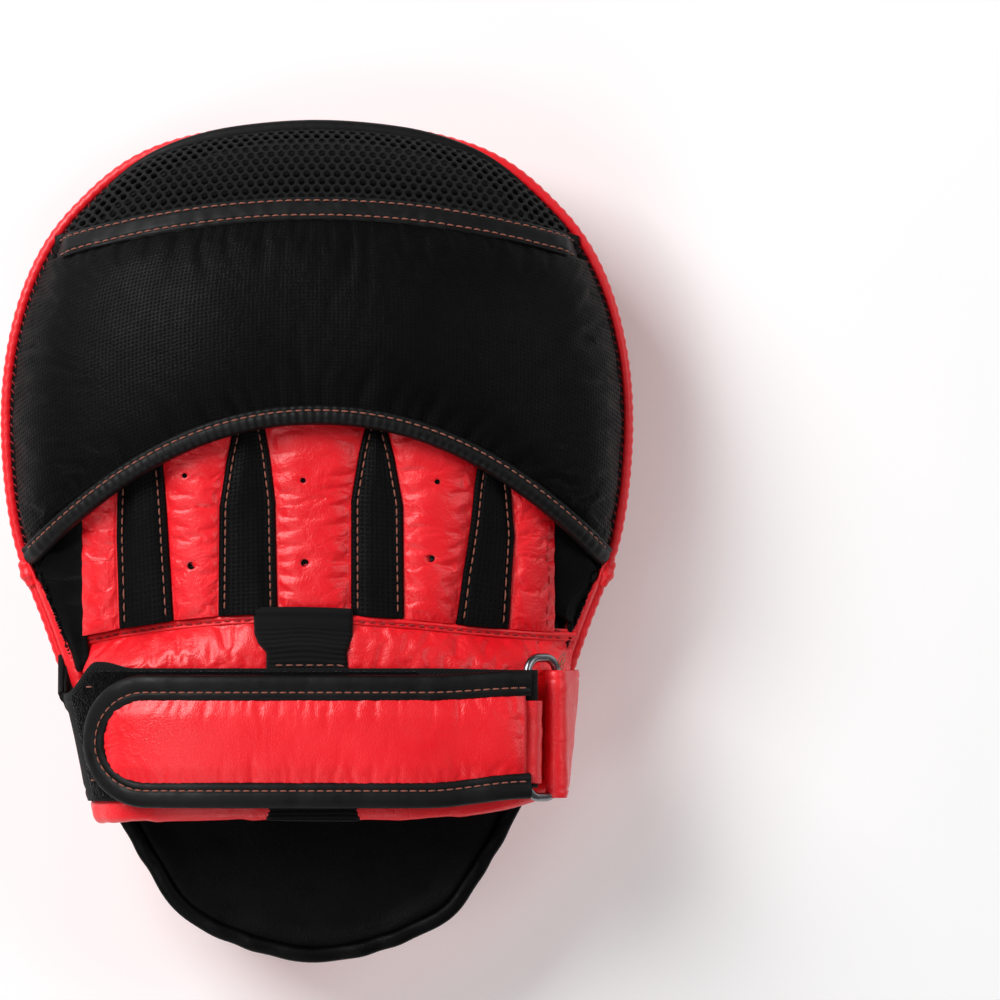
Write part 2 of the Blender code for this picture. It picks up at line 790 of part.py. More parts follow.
def flap(carrier):
    outer_radius = WIRE_RADIUS + GAP + LEATHER
    inset = FLAP_EDGE + 4 * GAP
    columns = [flap_column(x, inset, 5, CORE_OFFSET) for x in flap_columns(inset, FLAP_END_X, 12)]
    ys = spread(flap_low(INNER_BAR[0]), flap_high(INNER_BAR[0]), 5)
    for x, z in wrap(INNER_BAR, outer_radius, 105, -170, 10):
        columns.append([Vector((x, y, z)) for y in ys])
    sheet("flap_core", columns_to_rows(columns), LEATHER, black_textile(), carrier=carrier)

    columns = [flap_column(x, inset, 5, FACE_OFFSET) for x in flap_columns(inset, FLAP_END_X, 12)]
    rows = columns_to_rows(columns)
    sheet("flap_face", rows, FLAP_FACE_THICKNESS, red_leather(), bevel=GAP, carrier=carrier)

    columns = [flap_column(x, inset + 0.001, 3, HOOK_OFFSET) for x in spread(*HOOK_X, 6)]
    sheet("flap_hook_patch", columns_to_rows(columns), 0.0010, black_textile(), carrier=carrier)

    rows = [[], [], []]
    for row, edge in zip(rows, (FLAP_EDGE, FLAP_EDGE / 2, 0.0)):
        xs = flap_columns(edge, FLAP_END_X, 12)
        low = [(x, flap_low(x) + edge + tip_half(x, edge)) for x in reversed(xs)]
        high = [(x, flap_high(x) - edge - tip_half(x, edge)) for x in xs]
        row += [lifted(x, y, BINDING_OFFSET) for x, y in low + high]
    sheet("flap_binding", rows, FLAP_BINDING_THICKNESS, black_leather(), bevel=0.0012, carrier=carrier)


def ring(carrier):
    """A rectangular wire ring with rounded corners, leaning between its two bars."""
    inner = Vector((INNER_BAR[0], 0.0, INNER_BAR[1]))
    outer = Vector((OUTER_BAR[0], 0.0, OUTER_BAR[1]))
    across = (outer - inner).normalized()
    width = (outer - inner).length
    corners = (
        (RING_CORNER, RING_Y[1] + RING_CORNER, 180),
        (width - RING_CORNER, RING_Y[1] + RING_CORNER, 270),
        (width - RING_CORNER, RING_Y[0] - RING_CORNER, 0),
        (RING_CORNER, RING_Y[0] - RING_CORNER, 90),
    )
    points = []
    for along, y, start in corners:
        for turn in spread(start, start + 90, 5):
            angle = math.radians(turn)
            spot = inner + across * (along + RING_CORNER * math.cos(angle))
            points.append((spot.x, y + RING_CORNER * math.sin(angle), spot.z))
    tube("strap_ring", points, WIRE_RADIUS, steel(), sides=2, carrier=carrier)


def ring_tab():
    """The leather tab: round the ring's outer bar, then down the mitt's side wall."""
    radius = WIRE_RADIUS + GAP + TAB_THICKNESS
    path = wrap(OUTER_BAR, radius, -115, -335, 9)
    path.append((TAB_OUTER_X - TAB_THICKNESS, TAB_BEND_Z + 0.0060))
    path += [(TAB_OUTER_X, TAB_BEND_Z), (TAB_OUTER_X, TAB_END_Z)]
    rows = []
    for y in spread(FLAP_RING_Y[1], FLAP_RING_Y[0], 3):
        rows.append([Vector((x, y, z)) for x, z in path])
    sheet("ring_tab", rows, TAB_THICKNESS, red_leather())


def main():
    clear_scene()
    face_cover()
    paddle_padding()
    gusset()
    for number, (side, y) in enumerate(EYELET_SPOTS):
        eyelet(number + 1, side, y)
    hood()
    glove()
    grip_pad()
    cuff()
    strap_base()
    flap(joint_axis("flap_axis", INNER_BAR))
    ring(joint_axis("ring_axis", OUTER_BAR))
    ring_tab()


main()
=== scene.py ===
"""Looks of the focus mitt: leather, net, stitching and metal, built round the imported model.

Every piece is a dense mesh in the frame's own metres: +Z out of the hand side, +Y to the fingers.
"""

import math

import bmesh
import bpy
import numpy as np
from mathutils import Matrix, Vector
from mathutils.bvhtree import BVHTree


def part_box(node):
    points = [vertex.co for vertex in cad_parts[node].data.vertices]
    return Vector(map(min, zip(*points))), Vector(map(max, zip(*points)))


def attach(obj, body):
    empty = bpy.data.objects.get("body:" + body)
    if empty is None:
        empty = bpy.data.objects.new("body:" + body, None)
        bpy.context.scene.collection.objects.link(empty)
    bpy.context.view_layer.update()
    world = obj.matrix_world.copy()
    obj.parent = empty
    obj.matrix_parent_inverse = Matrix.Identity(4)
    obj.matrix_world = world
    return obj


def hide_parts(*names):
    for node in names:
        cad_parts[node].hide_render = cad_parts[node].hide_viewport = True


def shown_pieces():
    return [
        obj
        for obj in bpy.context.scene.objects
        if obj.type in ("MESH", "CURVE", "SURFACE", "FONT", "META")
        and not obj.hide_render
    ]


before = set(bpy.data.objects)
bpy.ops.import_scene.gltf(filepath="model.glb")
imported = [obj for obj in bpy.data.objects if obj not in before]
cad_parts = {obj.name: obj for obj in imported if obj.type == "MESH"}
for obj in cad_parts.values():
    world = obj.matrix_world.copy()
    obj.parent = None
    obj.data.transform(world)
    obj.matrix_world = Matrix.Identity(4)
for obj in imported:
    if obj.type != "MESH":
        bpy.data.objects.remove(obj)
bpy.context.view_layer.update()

MITT, RING, FLAP = "mitt", "ring", "strap_flap"

# Driving dimensions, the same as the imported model's.
RIM_HALF = (
    (0.0, 0.1275), (0.047, 0.1205), (0.0735, 0.102), (0.0888, 0.0778), (0.0957, 0.044),
    (0.093, 0.0045), (0.082, -0.028), (0.068, -0.066), (0.051, -0.099), (0.0355, -0.1172),
    (0.0, -0.1275),
)
RIM_COUNT = 720
SPINE_Y = (-0.088, 0.058)
PANEL_INSET = 0.003
BACK_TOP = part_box("back_panel")[1].z
SHELL_BASE = BACK_TOP + 0.0015
HOOD_HEIGHT, HOOD_REACH, HOOD_POWER = 0.034, 0.085, 0.62
GLOVE_HEIGHT, GLOVE_REACH = 0.025, 0.07
BAND_LOW_Y, BAND_WIDTH, BAND_DROP, BAND_HALF = 0.0973, 0.0067, 0.012, 0.08
ARCH_TOP_Y, ARCH_DROP, ARCH_HALF, ARCH_POWER = 0.035, 0.041, 0.084, 2.1
CORNER_Y = -0.002
BINDING_WIDTH = 0.006
TUCK = 0.008
GLOVE_LOW_Y = -0.0228
SHOULDER_SHARE = 0.55
STRIP_SEAMS = (
    ((-0.0601, -0.061, -0.0605), (-0.0436, -0.0455, -0.0475)),
    ((-0.03, -0.0297, -0.0245), (-0.012, -0.0127, -0.017)),
    ((0.0103, 0.0103, 0.016), (0.0264, 0.0261, 0.0198)),
    ((0.0421, 0.0467, 0.0495), (0.0583, 0.0601, 0.058)),
)
GLOVE_LEFT, GLOVE_RIGHT = -0.0717, 0.0726
CUFF_TOP_Y, CUFF_HEM_Y, CUFF_MOUTH_Y = -0.0231, -0.0795, -0.0865
CUFF_LEFT, CUFF_RIGHT = (-0.073, -0.0665), (0.0787, 0.0726)
CUFF_HEIGHT, CUFF_FULL_Y = 0.026, -0.038
ELASTIC_LEFT, ELASTIC_RIGHT = -0.0186, 0.011
STRAP_CENTRE, STRAP_HALF_RIGHT = 0.0029, 0.0753
STRAP_BASE_LEFT, STRAP_BASE_Y = (-0.0755, -0.0682), (-0.0385, -0.0795)
BASE_OFFSET, PILE_OFFSET, HOOK_OFFSET = 0.0019, 0.0032, 0.0045
CORE_OFFSET, FACE_OFFSET, BINDING_OFFSET = 0.0064, 0.0079, 0.0085
FLAP_TIP_X, FLAP_Y, FLAP_RING_Y = -0.072, (-0.041, -0.0812), (-0.0396, -0.0784)
TURN_Y = (-0.0394, -0.0752)
FLAP_NARROW_X, FLAP_CORNER, FLAP_EDGE = 0.033, 0.0198, 0.0076
INNER_BAR, OUTER_BAR = (0.0638, 0.0665), (0.0728, 0.0588)
WIRE = 0.00135
FOLD_RADIUS = WIRE + 0.0003 + 0.0016
RING_Y, RING_CORNER = (-0.0358, -0.0781), 0.0046
SEAM_LOW_Y, CUFF_ROWS = -0.0262, (-0.0231, -0.0253)
# how far the cuff's upper seam and its hem sit from their straight lines: x, then the shift in y
SEAM_BOW = ((-0.077, -0.007), (-0.0677, -0.005), (-0.0467, -0.0016), (-0.0189, 0.001), (0.0101, 0.0003),
            (0.036, -0.0013), (0.0589, -0.0038), (0.078, -0.0046))
HEM_RISE = ((-0.071, 0.0006), (-0.06, 0.0008), (-0.02, 0.002), (0.0131, 0.0018), (0.0558, 0.0046),
            (0.067, 0.0074), (0.0745, 0.01))
SIM_SCALE, SIM_FRAMES = 10.0, 20
RIM_SAMPLES = 1440      # frames along a seam that runs all round the rim
NET_PITCH, NET_HOLE = 0.0031, 0.00098
EYELETS = ((-1, 0.075), (1, 0.075), (-1, -0.029), (1, -0.029))     # side and y
# name, place, size in metres and power in watts
LAMPS = (("key", (-0.95, 0.85, 1.2), 0.9, 29.0), ("fill", (1.25, 0.35, 1.05), 0.9, 6.0),
         ("low", (-0.35, -1.35, 0.95), 0.8, 5.0), ("sheen", (-0.62, -0.45, 1.45), 0.5, 2.5))
CAMERA_FAR, CAMERA_WIDE, CAMERA_AIM = 4.5, 0.305, (0.0558, 0.0122, 0.045)
PITCH, STITCH, THREAD = 0.0028, 0.0022, 0.00021


# ---------------------------------------------------------------- numbers and surfaces

def mix(a, b, share):
    """From a to b by a share."""
    return a + (b - a) * share


def turns(count):
    """Angles evenly spaced round a circle."""
    return np.arange(count) / count * 2 * np.pi


def upwards(count):
    """Shares from 0 to 1, one for each row of a grid."""
    return np.linspace(0, 1, count)[:, None]


def sideways(count):
    """Shares from 0 to 1, one for each column of a grid."""
    return np.linspace(0, 1, count)[None]


def easing_in(share):
    """Crowds evenly spaced shares together near 0."""
    return 1.0 - np.cos(np.asarray(share) * np.pi / 2)


def easing_out(share):
    """Crowds evenly spaced shares together near 1, and near -1."""
    return np.sin(np.asarray(share) * np.pi / 2)


def bell(x, middle, width):
    """1 at the middle, falling off to each side."""
    return np.exp(-((x - middle) / width) ** 2)


def unit(v):
    """The rows of v, each made one long."""
    return v / np.linalg.norm(v, axis=1)[:, None]


def ups(count):
    """A row of normals that point straight up."""
    return np.tile([0.0, 0.0, 1.0], (count, 1))


def arc(middle, radius, start, end, count):
    """Points round a bar, with the angles in degrees."""
    return [(middle[0] + radius * math.cos(angle), middle[1] + radius * math.sin(angle))
            for angle in np.radians(np.linspace(start, end, count))]


def smooth(share):
    """Eases a share in and out, held between 0 and 1."""
    share = np.clip(share, 0.0, 1.0)
    return share * share * (3.0 - 2.0 * share)


def resample(points, count, closed=False):
    """The polyline as count points, evenly spaced along it."""
    points = np.asarray(points, float)
    if closed:
        points = np.vstack([points, points[:1]])
    walked = np.r_[0.0, np.cumsum(np.linalg.norm(np.diff(points[:, :3], axis=0), axis=1))]
    spots = np.linspace(0.0, walked[-1], count, endpoint=not closed)
    return np.stack([np.interp(spots, walked, points[:, k]) for k in range(points.shape[1])], axis=1)


def catmull(points, steps):
    """Smooth closed curve through the points."""
    p = np.asarray(points, float)
    before, start, end, after = np.roll(p, 1, 0), p, np.roll(p, -1, 0), np.roll(p, -2, 0)
    out = []
    for share in np.arange(steps) / steps:
        bend = before * 2 - start * 5 + end * 4 - after
        twist = start * 3 - before - end * 3 + after
        out.append((start * 2 + (end - before) * share + bend * share**2 + twist * share**3) / 2)
    return np.stack(out, axis=1).reshape(-1, 2)


def rim_shape():
    """The rim's outline, evenly spaced, from the crown round by the right."""
    right = list(RIM_HALF)
    left = [(-x, y) for x, y in reversed(right[1:-1])]
    return resample(catmull(right + left, 24), RIM_COUNT, closed=True)


RIM = rim_shape()
RIM_ALONG = unit(np.roll(RIM, -1, 0) - np.roll(RIM, 1, 0))
RIM_IN = np.stack([RIM_ALONG[:, 1], -RIM_ALONG[:, 0]], axis=1)


def rim_loop(inset):
    """The rim, moved inwards."""
    return RIM + RIM_IN * inset


def rim_distance(x, y, inset=PANEL_INSET):
    """How far points lie inside the inset rim."""
    x, y = np.broadcast_arrays(np.asarray(x, float), np.asarray(y, float))
    flat = np.stack([x.ravel(), y.ravel()], axis=1)
    along = np.roll(RIM, -1, 0) - RIM
    length = (along**2).sum(1)
    best = np.empty(len(flat))
    for i in range(0, len(flat), 2000):
        apart = flat[i:i + 2000, None, :] - RIM[None]
        share = np.clip((apart * along).sum(2) / length, 0.0, 1.0)
        best[i:i + 2000] = np.linalg.norm(apart - along * share[..., None], axis=2).min(1)
    return np.maximum(best - inset, 0.0).reshape(x.shape)


SHELL_RIM = rim_loop(PANEL_INSET)
UPPER = SHELL_RIM[SHELL_RIM[:, 1] > 0.044]
UPPER = UPPER[np.argsort(UPPER[:, 0])]


def rim_x(y, inset=PANEL_INSET):
    """The inset rim's half width at y."""
    half = rim_loop(inset)[: RIM_COUNT // 2 + 1]
    return np.interp(-np.asarray(y, float), -half[:, 1], half[:, 0])


def rim_y(x):
    """The crown's rim above an x."""
    return np.interp(x, UPPER[:, 0], UPPER[:, 1])


def hood_z(x, y):
    """Height of the hood's surface."""
    near = np.minimum(rim_distance(x, y) / HOOD_REACH, 1.0)
    return SHELL_BASE + HOOD_HEIGHT * (1.0 - (1.0 - near) ** 2) ** HOOD_POWER


def glove_z(x, y):
    """Height of the glove's surface, under the hood."""
    near = np.minimum(rim_distance(x, y) / GLOVE_REACH, 1.0)
    return SHELL_BASE + GLOVE_HEIGHT * (1.0 - (1.0 - near) ** 2)


def cuff_edge(edge, y):
    """The cuff's left or right edge at y."""
    return mix(edge[0], edge[1], (y - CUFF_TOP_Y) / (CUFF_MOUTH_Y - CUFF_TOP_Y))


def cuff_z(x, y):
    """Height of the cuff's surface: it widens from the glove's to a full arch."""
    left, right = cuff_edge(CUFF_LEFT, y), cuff_edge(CUFF_RIGHT, y)
    across = np.minimum(np.abs(2 * x - left - right) / (right - left), 1.0)
    full = smooth((CUFF_TOP_Y - y) / (CUFF_TOP_Y - CUFF_FULL_Y))
    rise = (1.0 - across ** mix(2.0, 3.0, full)) ** mix(1.0, 0.5, full)
    return SHELL_BASE + mix(GLOVE_HEIGHT, CUFF_HEIGHT, full) * rise


def strap_left(y):
    """Left end of the strap at y."""
    return mix(*STRAP_BASE_LEFT, (y - STRAP_BASE_Y[0]) / (STRAP_BASE_Y[1] - STRAP_BASE_Y[0]))


def strap_z(x, y, offset):
    """Height of a layer of the strap, offset out from the cuff."""
    half = np.where(x > STRAP_CENTRE, STRAP_HALF_RIGHT, STRAP_CENTRE - strap_left(y)) + offset
    across = np.minimum(np.abs(x - STRAP_CENTRE) / half, 1.0)
    return SHELL_BASE + (CUFF_HEIGHT + offset) * np.sqrt(1.0 - across**3)


def flap_z(x, y, offset):
    """The same, lifted over the ring at its end."""
    return strap_z(x, y, offset) + 0.003 * smooth((x - 0.042) / (INNER_BAR[0] - 0.042))


def arch_y(x):
    """The hood's arched lower edge."""
    return ARCH_TOP_Y - ARCH_DROP * (np.abs(x) / ARCH_HALF) ** ARCH_POWER


def band_y(x, share):
    """A line along the band, share 0 at its lower edge and 1 at its upper."""
    return BAND_LOW_Y + BAND_WIDTH * share - BAND_DROP * (x / BAND_HALF) ** 2


def narrowing(x):
    """How far the flap has narrowed towards the ring, from 0 to 1."""
    return smooth((x - FLAP_NARROW_X) / (INNER_BAR[0] - FLAP_NARROW_X))


def flap_low(x):
    """Lower edge of the flap."""
    return mix(FLAP_Y[1], FLAP_RING_Y[1], narrowing(x))


def flap_high(x):
    """Upper edge of the flap."""
    return mix(FLAP_Y[0], FLAP_RING_Y[0], narrowing(x))


def wobble(x, y, size, seed):
    """A smooth random field from -1 to 1, with features about size across."""
    table = np.random.default_rng(seed).uniform(-1, 1, (64, 64))
    u, v = np.asarray(x, float) / size + 20.3, np.asarray(y, float) / size + 20.7
    i, j = np.floor(u).astype(int), np.floor(v).astype(int)
    fu, fv = smooth(u - i), smooth(v - j)
    at = lambda a, b: table[a % 64, b % 64]
    low = mix(at(i, j), at(i + 1, j), fu)
    high = mix(at(i, j + 1), at(i + 1, j + 1), fu)
    return mix(low, high, fv)


def creases(x, y, size, seed):
    """Sharp folds: ridges of a warped random field, from 0 to 1."""
    bend_x = x + 0.35 * size * wobble(x, y, size * 1.3, seed + 1)
    bend_y = y + 0.35 * size * wobble(x, y, size * 1.3, seed + 2)
    return 1.0 - np.abs(wobble(bend_x, bend_y, size, seed)) ** 0.6


def normals_of(p):
    """Unit normals of a grid of points, upwards for rows bottom to top and columns left to right."""
    n = np.cross(np.gradient(p, axis=1), np.gradient(p, axis=0))
    return n / np.maximum(np.linalg.norm(n, axis=2, keepdims=True), 1e-12)


# ---------------------------------------------------------------- building pieces

def grid_mesh(name, p, closed=False):
    """A mesh from a (rows, columns, 3) grid, with a UV map in metres along the surface."""
    rows, cols = p.shape[:2]
    r, c = np.meshgrid(np.arange(rows - 1), np.arange(cols if closed else cols - 1), indexing="ij")
    first, beside = r * cols + c, r * cols + (c + 1) % cols
    quads = np.stack([first, beside, beside + cols, first + cols], axis=2).reshape(-1, 4)
    mesh = bpy.data.meshes.new(name)
    mesh.from_pydata(p.reshape(-1, 3).tolist(), [], quads.tolist())
    ring = np.concatenate([p, p[:, :1]], axis=1) if closed else p
    u = np.cumsum(np.linalg.norm(np.diff(ring, axis=1, prepend=ring[:, :1]), axis=2).mean(0))
    v = np.cumsum(np.linalg.norm(np.diff(p, axis=0, prepend=p[:1]), axis=2).mean(1))
    uv = np.stack([np.stack([u[c + i], v[r + j]], 2) for i, j in ((0, 0), (1, 0), (1, 1), (0, 1))], axis=2)
    mesh.uv_layers.new(name="UVMap").data.foreach_set("uv", uv.astype(np.float32).ravel())
    mesh.shade_smooth()
    return mesh


def piece(name, mesh, surface, body=MITT, replaced=()):
    """A new object that rides on a body; mesh may also be a grid of points."""
    if isinstance(mesh, np.ndarray):
        mesh = grid_mesh(name, mesh)
    made = bpy.data.objects.new(name, mesh)
    bpy.context.scene.collection.objects.link(made)
    mesh.materials.append(surface)
    if body:
        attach(made, body)
    if replaced:
        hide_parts(*replaced)
    return made


def thicken(obj, thickness, offset=-1.0):
    """Gives a sheet its thickness."""
    solid = obj.modifiers.new("thickness", "SOLIDIFY")
    solid.thickness = thickness
    solid.offset = offset
    return obj


def sweep_mesh(name, centre, across, normal, profile, closed=False):
    """A profile of (across, normal) points, a closed outline, carried along a line of frames."""
    profile = np.asarray(profile, float)
    aside, up = profile[None, :, :1], profile[None, :, 1:]
    ring = centre[:, None, :] + across[:, None, :] * aside + normal[:, None, :] * up
    count, sides = ring.shape[:2]
    steps = count if closed else count - 1
    i, j = np.meshgrid(np.arange(steps), np.arange(sides), indexing="ij")
    a, b = i * sides + j, i * sides + (j + 1) % sides
    c, d = (i + 1) % count * sides + (j + 1) % sides, (i + 1) % count * sides + j
    faces = np.stack([a, b, c, d], axis=2).reshape(-1, 4).tolist()
    if not closed:
        faces += [list(range(sides))[::-1], list(range((count - 1) * sides, count * sides))]
    mesh = bpy.data.meshes.new(name)
    mesh.from_pydata(ring.reshape(-1, 3).tolist(), [], faces)
    line = np.vstack([centre, centre[:1]]) if closed else centre
    along = np.r_[0.0, np.cumsum(np.linalg.norm(np.diff(line, axis=0), axis=1))]
    girth = np.r_[0.0, np.cumsum(np.linalg.norm(np.roll(profile, -1, 0) - profile, axis=1))]
    uv = np.zeros((len(mesh.loops), 2), np.float32)
    flat = np.stack([np.stack([along[i + r], girth[j + t]], 2)
                     for r, t in ((0, 0), (0, 1), (1, 1), (1, 0))], axis=2)
    uv[: flat.size // 2] = flat.reshape(-1, 2)
    mesh.uv_layers.new(name="UVMap").data.foreach_set("uv", uv.ravel())
    mesh.shade_smooth()
    face_out(mesh)
    return mesh


def soften(obj):
    """Rounds the facets of a sheet."""
    rounder = obj.modifiers.new("smooth", "SUBSURF")
    rounder.levels = rounder.render_levels = 1


def swept(name, line, across, up, profile, surface, body=MITT, replaced=(), closed=False):
    """A piece of sweep_mesh."""
    return piece(name, sweep_mesh(name, line, across, up, profile, closed), surface, body, replaced)


def face_out(mesh):
    """Turns the faces round if the closed mesh is inside out."""
    mesh.calc_loop_triangles()
    co = np.array([v.co for v in mesh.vertices])
    tri = np.array([t.vertices for t in mesh.loop_triangles])
    if np.linalg.det(co[tri]).sum() < 0:
        mesh.flip_normals()


def spaced(points, normals, count):
    """A line and its normals as count evenly spaced points."""
    both = resample(np.column_stack([points, normals]), count)
    return both[:, :3], both[:, 3:]


def frames(points, normal):
    """(across, normal) for a line of points with a rough normal at each."""
    along = unit(np.gradient(points, axis=0))
    across = unit(np.cross(normal, along))
    return across, np.cross(along, across)


def on_surface(height, xy, lift=0.0):
    """Points of a height field over xy, and the field's normals there."""
    xy = np.asarray(xy, float)
    step = 0.0004
    x, y = xy[:, 0], xy[:, 1]
    z = height(x, y)
    slope_x = (height(x + step, y) - height(x - step, y)) / (2 * step)
    slope_y = (height(x, y + step) - height(x, y - step)) / (2 * step)
    n = unit(np.stack([-slope_x, -slope_y, np.ones(len(x))], axis=1))
    return np.column_stack([xy, z]) + n * lift, n


def rounded(half_width, half_height, sides=16, power=2.6):
    """A rounded-rectangle outline."""
    turn = turns(sides)
    c, s = np.cos(turn), np.sin(turn)
    return np.stack([half_width * np.sign(c) * np.abs(c) ** (2 / power),
                     half_height * np.sign(s) * np.abs(s) ** (2 / power)], axis=1)


def stitches(name, points, normal, surface, slot, body=MITT, pitch=PITCH, length=STITCH, radius=THREAD,
             slant=0.0):
    """Thread seen along a seam: short rounded dashes that dip into the leather at both ends."""
    points, normal = np.asarray(points, float), np.asarray(normal, float)
    total = np.linalg.norm(np.diff(points, axis=0), axis=1).sum()
    count = max(int(total / pitch), 1)
    # eight samples to a stitch
    spots, ups = spaced(points, normal, count * 8 + 1)
    across, ups = frames(spots, ups)
    verts, faces = [], []
    rings, sides = 5, 6
    for k in range(count):
        mid = k * 8 + 4
        along = np.cross(across[mid], ups[mid])
        along = along * math.cos(slant) + across[mid] * math.sin(slant)
        side = np.cross(ups[mid], along)
        start = len(verts)
        for r in range(rings):
            share = r / (rings - 1) * 2 - 1
            thick = radius * (1.0 - 0.55 * abs(share) ** 3)
            spot = spots[mid] + along * (share * length / 2) + ups[mid] * (radius * (0.55 - 1.3 * share**4))
            for s in range(sides):
                turn = s / sides * 2 * math.pi
                flatter = side * (math.cos(turn) * thick * 1.25)
                verts.append(spot + flatter + ups[mid] * (math.sin(turn) * thick))
        for r in range(rings - 1):
            for s in range(sides):
                a, b = start + r * sides + s, start + r * sides + (s + 1) % sides
                faces.append((a, b, b + sides, a + sides))
        faces.append(tuple(start + s for s in range(sides))[::-1])
        faces.append(tuple(start + (rings - 1) * sides + s for s in range(sides)))
    mesh = bpy.data.meshes.new(name)
    mesh.from_pydata([tuple(v) for v in verts], [], faces)
    mesh.shade_smooth()
    face_out(mesh)
    return piece(name, mesh, surface, body)


# ---------------------------------------------------------------- materials

class Graph:
    """Adds nodes to one material and joins them."""

    def __init__(self, name, roughness=0.5, metallic=0.0, specular=0.5, coat=0.0, sheen=0.0):
        self.material = bpy.data.materials.new(name)
        self.material.use_nodes = True
        self.tree = self.material.node_tree
        self.shader = self.tree.nodes["Principled BSDF"]
        self.put(self.shader, "Roughness", roughness)
        self.put(self.shader, "Metallic", metallic)
        self.put(self.shader, "Specular IOR Level", specular)
        self.put(self.shader, "Coat Weight", coat)
        self.put(self.shader, "Coat Roughness", 0.25)
        self.put(self.shader, "Sheen Weight", sheen)
        self.put(self.shader, "Sheen Roughness", 0.4)
        self.uv = self.tree.nodes.new("ShaderNodeTexCoord").outputs["UV"]
        self.place = self.uv.node.outputs["Object"]

    def put(self, node, name, value):
        if isinstance(value, bpy.types.NodeSocket):
            self.tree.links.new(value, node.inputs[name])
        else:
            node.inputs[name].default_value = value

    def node(self, kind, out=0, **values):
        made = self.tree.nodes.new(kind)
        for name, value in values.items():
            if hasattr(made, name):
                setattr(made, name, value)
            else:
                self.put(made, name.replace("_", " "), value)
        return made.outputs[out]

    def noise(self, scale, detail=2.0, roughness=0.5, distortion=0.0, where=None):
        return self.node("ShaderNodeTexNoise", Vector=where or self.place, Scale=scale, Detail=detail,
                         Roughness=roughness, Distortion=distortion)

    def cells(self, scale, feature="F1", where=None, randomness=1.0):
        return self.node("ShaderNodeTexVoronoi", feature=feature, Vector=where or self.place, Scale=scale,
                         Randomness=randomness)

    def sum(self, kind, a, b=0.0):
        made = self.tree.nodes.new("ShaderNodeMath")
        made.operation = kind
        self.put(made, 0, a)
        self.put(made, 1, b)
        return made.outputs[0]

    def spread(self, value, low, high, to_low=0.0, to_high=1.0):
        made = self.tree.nodes.new("ShaderNodeMapRange")
        self.put(made, "Value", value)
        for name, number in (("From Min", low), ("From Max", high), ("To Min", to_low), ("To Max", to_high)):
            self.put(made, name, number)
        return made.outputs[0]

    def colours(self, share, first, second):
        made = self.tree.nodes.new("ShaderNodeMix")
        made.data_type = "RGBA"
        self.put(made, 0, share)
        made.inputs[6].default_value = (*first, 1.0)
        made.inputs[7].default_value = (*second, 1.0)
        return made.outputs[2]

    def stretched(self, scale_x, scale_y, scale_z=1.0, where=None, turn=0.0):
        made = self.tree.nodes.new("ShaderNodeMapping")
        self.put(made, "Vector", where or self.uv)
        made.inputs["Scale"].default_value = (scale_x, scale_y, scale_z)
        made.inputs["Rotation"].default_value = (0.0, 0.0, turn)
        return made.outputs[0]

    def warped(self, scale, amount):
        """Object coordinates pushed about by noise."""
        push = self.node("ShaderNodeTexNoise", 1, Vector=self.place, Scale=scale, Detail=3.0)
        made = self.tree.nodes.new("ShaderNodeVectorMath")
        made.operation = "MULTIPLY_ADD"
        self.put(made, 0, push)
        made.inputs[1].default_value = (amount,) * 3
        self.put(made, 2, self.place)
        return made.outputs[0]

    def dots(self, pitch, radius, where=None, stagger=True):
        """1 in round holes on a square grid, 0 between them."""
        spot = self.stretched(1 / pitch, 1 / pitch, 1.0, where)
        split = self.tree.nodes.new("ShaderNodeSeparateXYZ")
        self.put(split, 0, spot)
        x, y = split.outputs[0], split.outputs[1]
        if stagger:
            row = self.sum("MODULO", self.sum("FLOOR", self.sum("ADD", y, 1000.0)), 2.0)
            x = self.sum("ADD", x, self.sum("MULTIPLY", row, 0.5))
        dx = self.sum("SUBTRACT", self.sum("FRACT", x), 0.5)
        dy = self.sum("SUBTRACT", self.sum("FRACT", y), 0.5)
        far = self.sum("SQRT", self.sum("ADD", self.sum("MULTIPLY", dx, dx), self.sum("MULTIPLY", dy, dy)))
        edge = radius / pitch
        return self.spread(far, edge * 0.75, edge * 1.15, 1.0, 0.0)

    def finish(self, colour=None, roughness=None, bumps=()):
        """bumps: (height, distance in metres, strength) from coarse to fine."""
        if colour is not None:
            self.put(self.shader, "Base Color", colour)
        if roughness is not None:
            self.put(self.shader, "Roughness", roughness)
        last = None
        for height, distance, strength in bumps:
            made = self.tree.nodes.new("ShaderNodeBump")
            self.put(made, "Height", height)
            made.inputs["Distance"].default_value = distance
            made.inputs["Strength"].default_value = strength
            if last is not None:
                self.put(made, "Normal", last)
            last = made.outputs[0]
        if last is not None:
            self.put(self.shader, "Normal", last)
        return self.material


def red_leather(name, wrinkle=0.6):
    g = Graph(name, specular=0.42, coat=0.14)
    patches = g.noise(22, 3.0)
    long_lines = g.spread(g.cells(95, "DISTANCE_TO_EDGE", g.warped(60, 0.016)), 0.0, 0.07)
    short_lines = g.spread(g.cells(330, "DISTANCE_TO_EDGE", g.warped(200, 0.006)), 0.0, 0.1)
    shown = g.spread(g.noise(48, 2.0), 0.42, 0.62)
    lines = g.sum("MULTIPLY", g.sum("ADD", long_lines, g.sum("MULTIPLY", short_lines, 0.45)), shown)
    grain = g.cells(1150, "DISTANCE_TO_EDGE")
    fine = g.noise(2600, 2.0)
    folds = g.noise(120, 5.0, 0.62, 0.8)
    colour = g.colours(g.spread(patches, 0.35, 0.68), (0.85, 0.008, 0.016), (0.98, 0.016, 0.026))
    rough = g.spread(g.noise(90, 3.0), 0.3, 0.7, 0.3, 0.44)
    bumps = ((folds, 0.0009, wrinkle), (lines, 0.00016, wrinkle), (g.spread(grain, 0.0, 0.25), 0.0001, 0.35),
             (fine, 0.00005, 0.4))
    return g.finish(colour, rough, bumps)


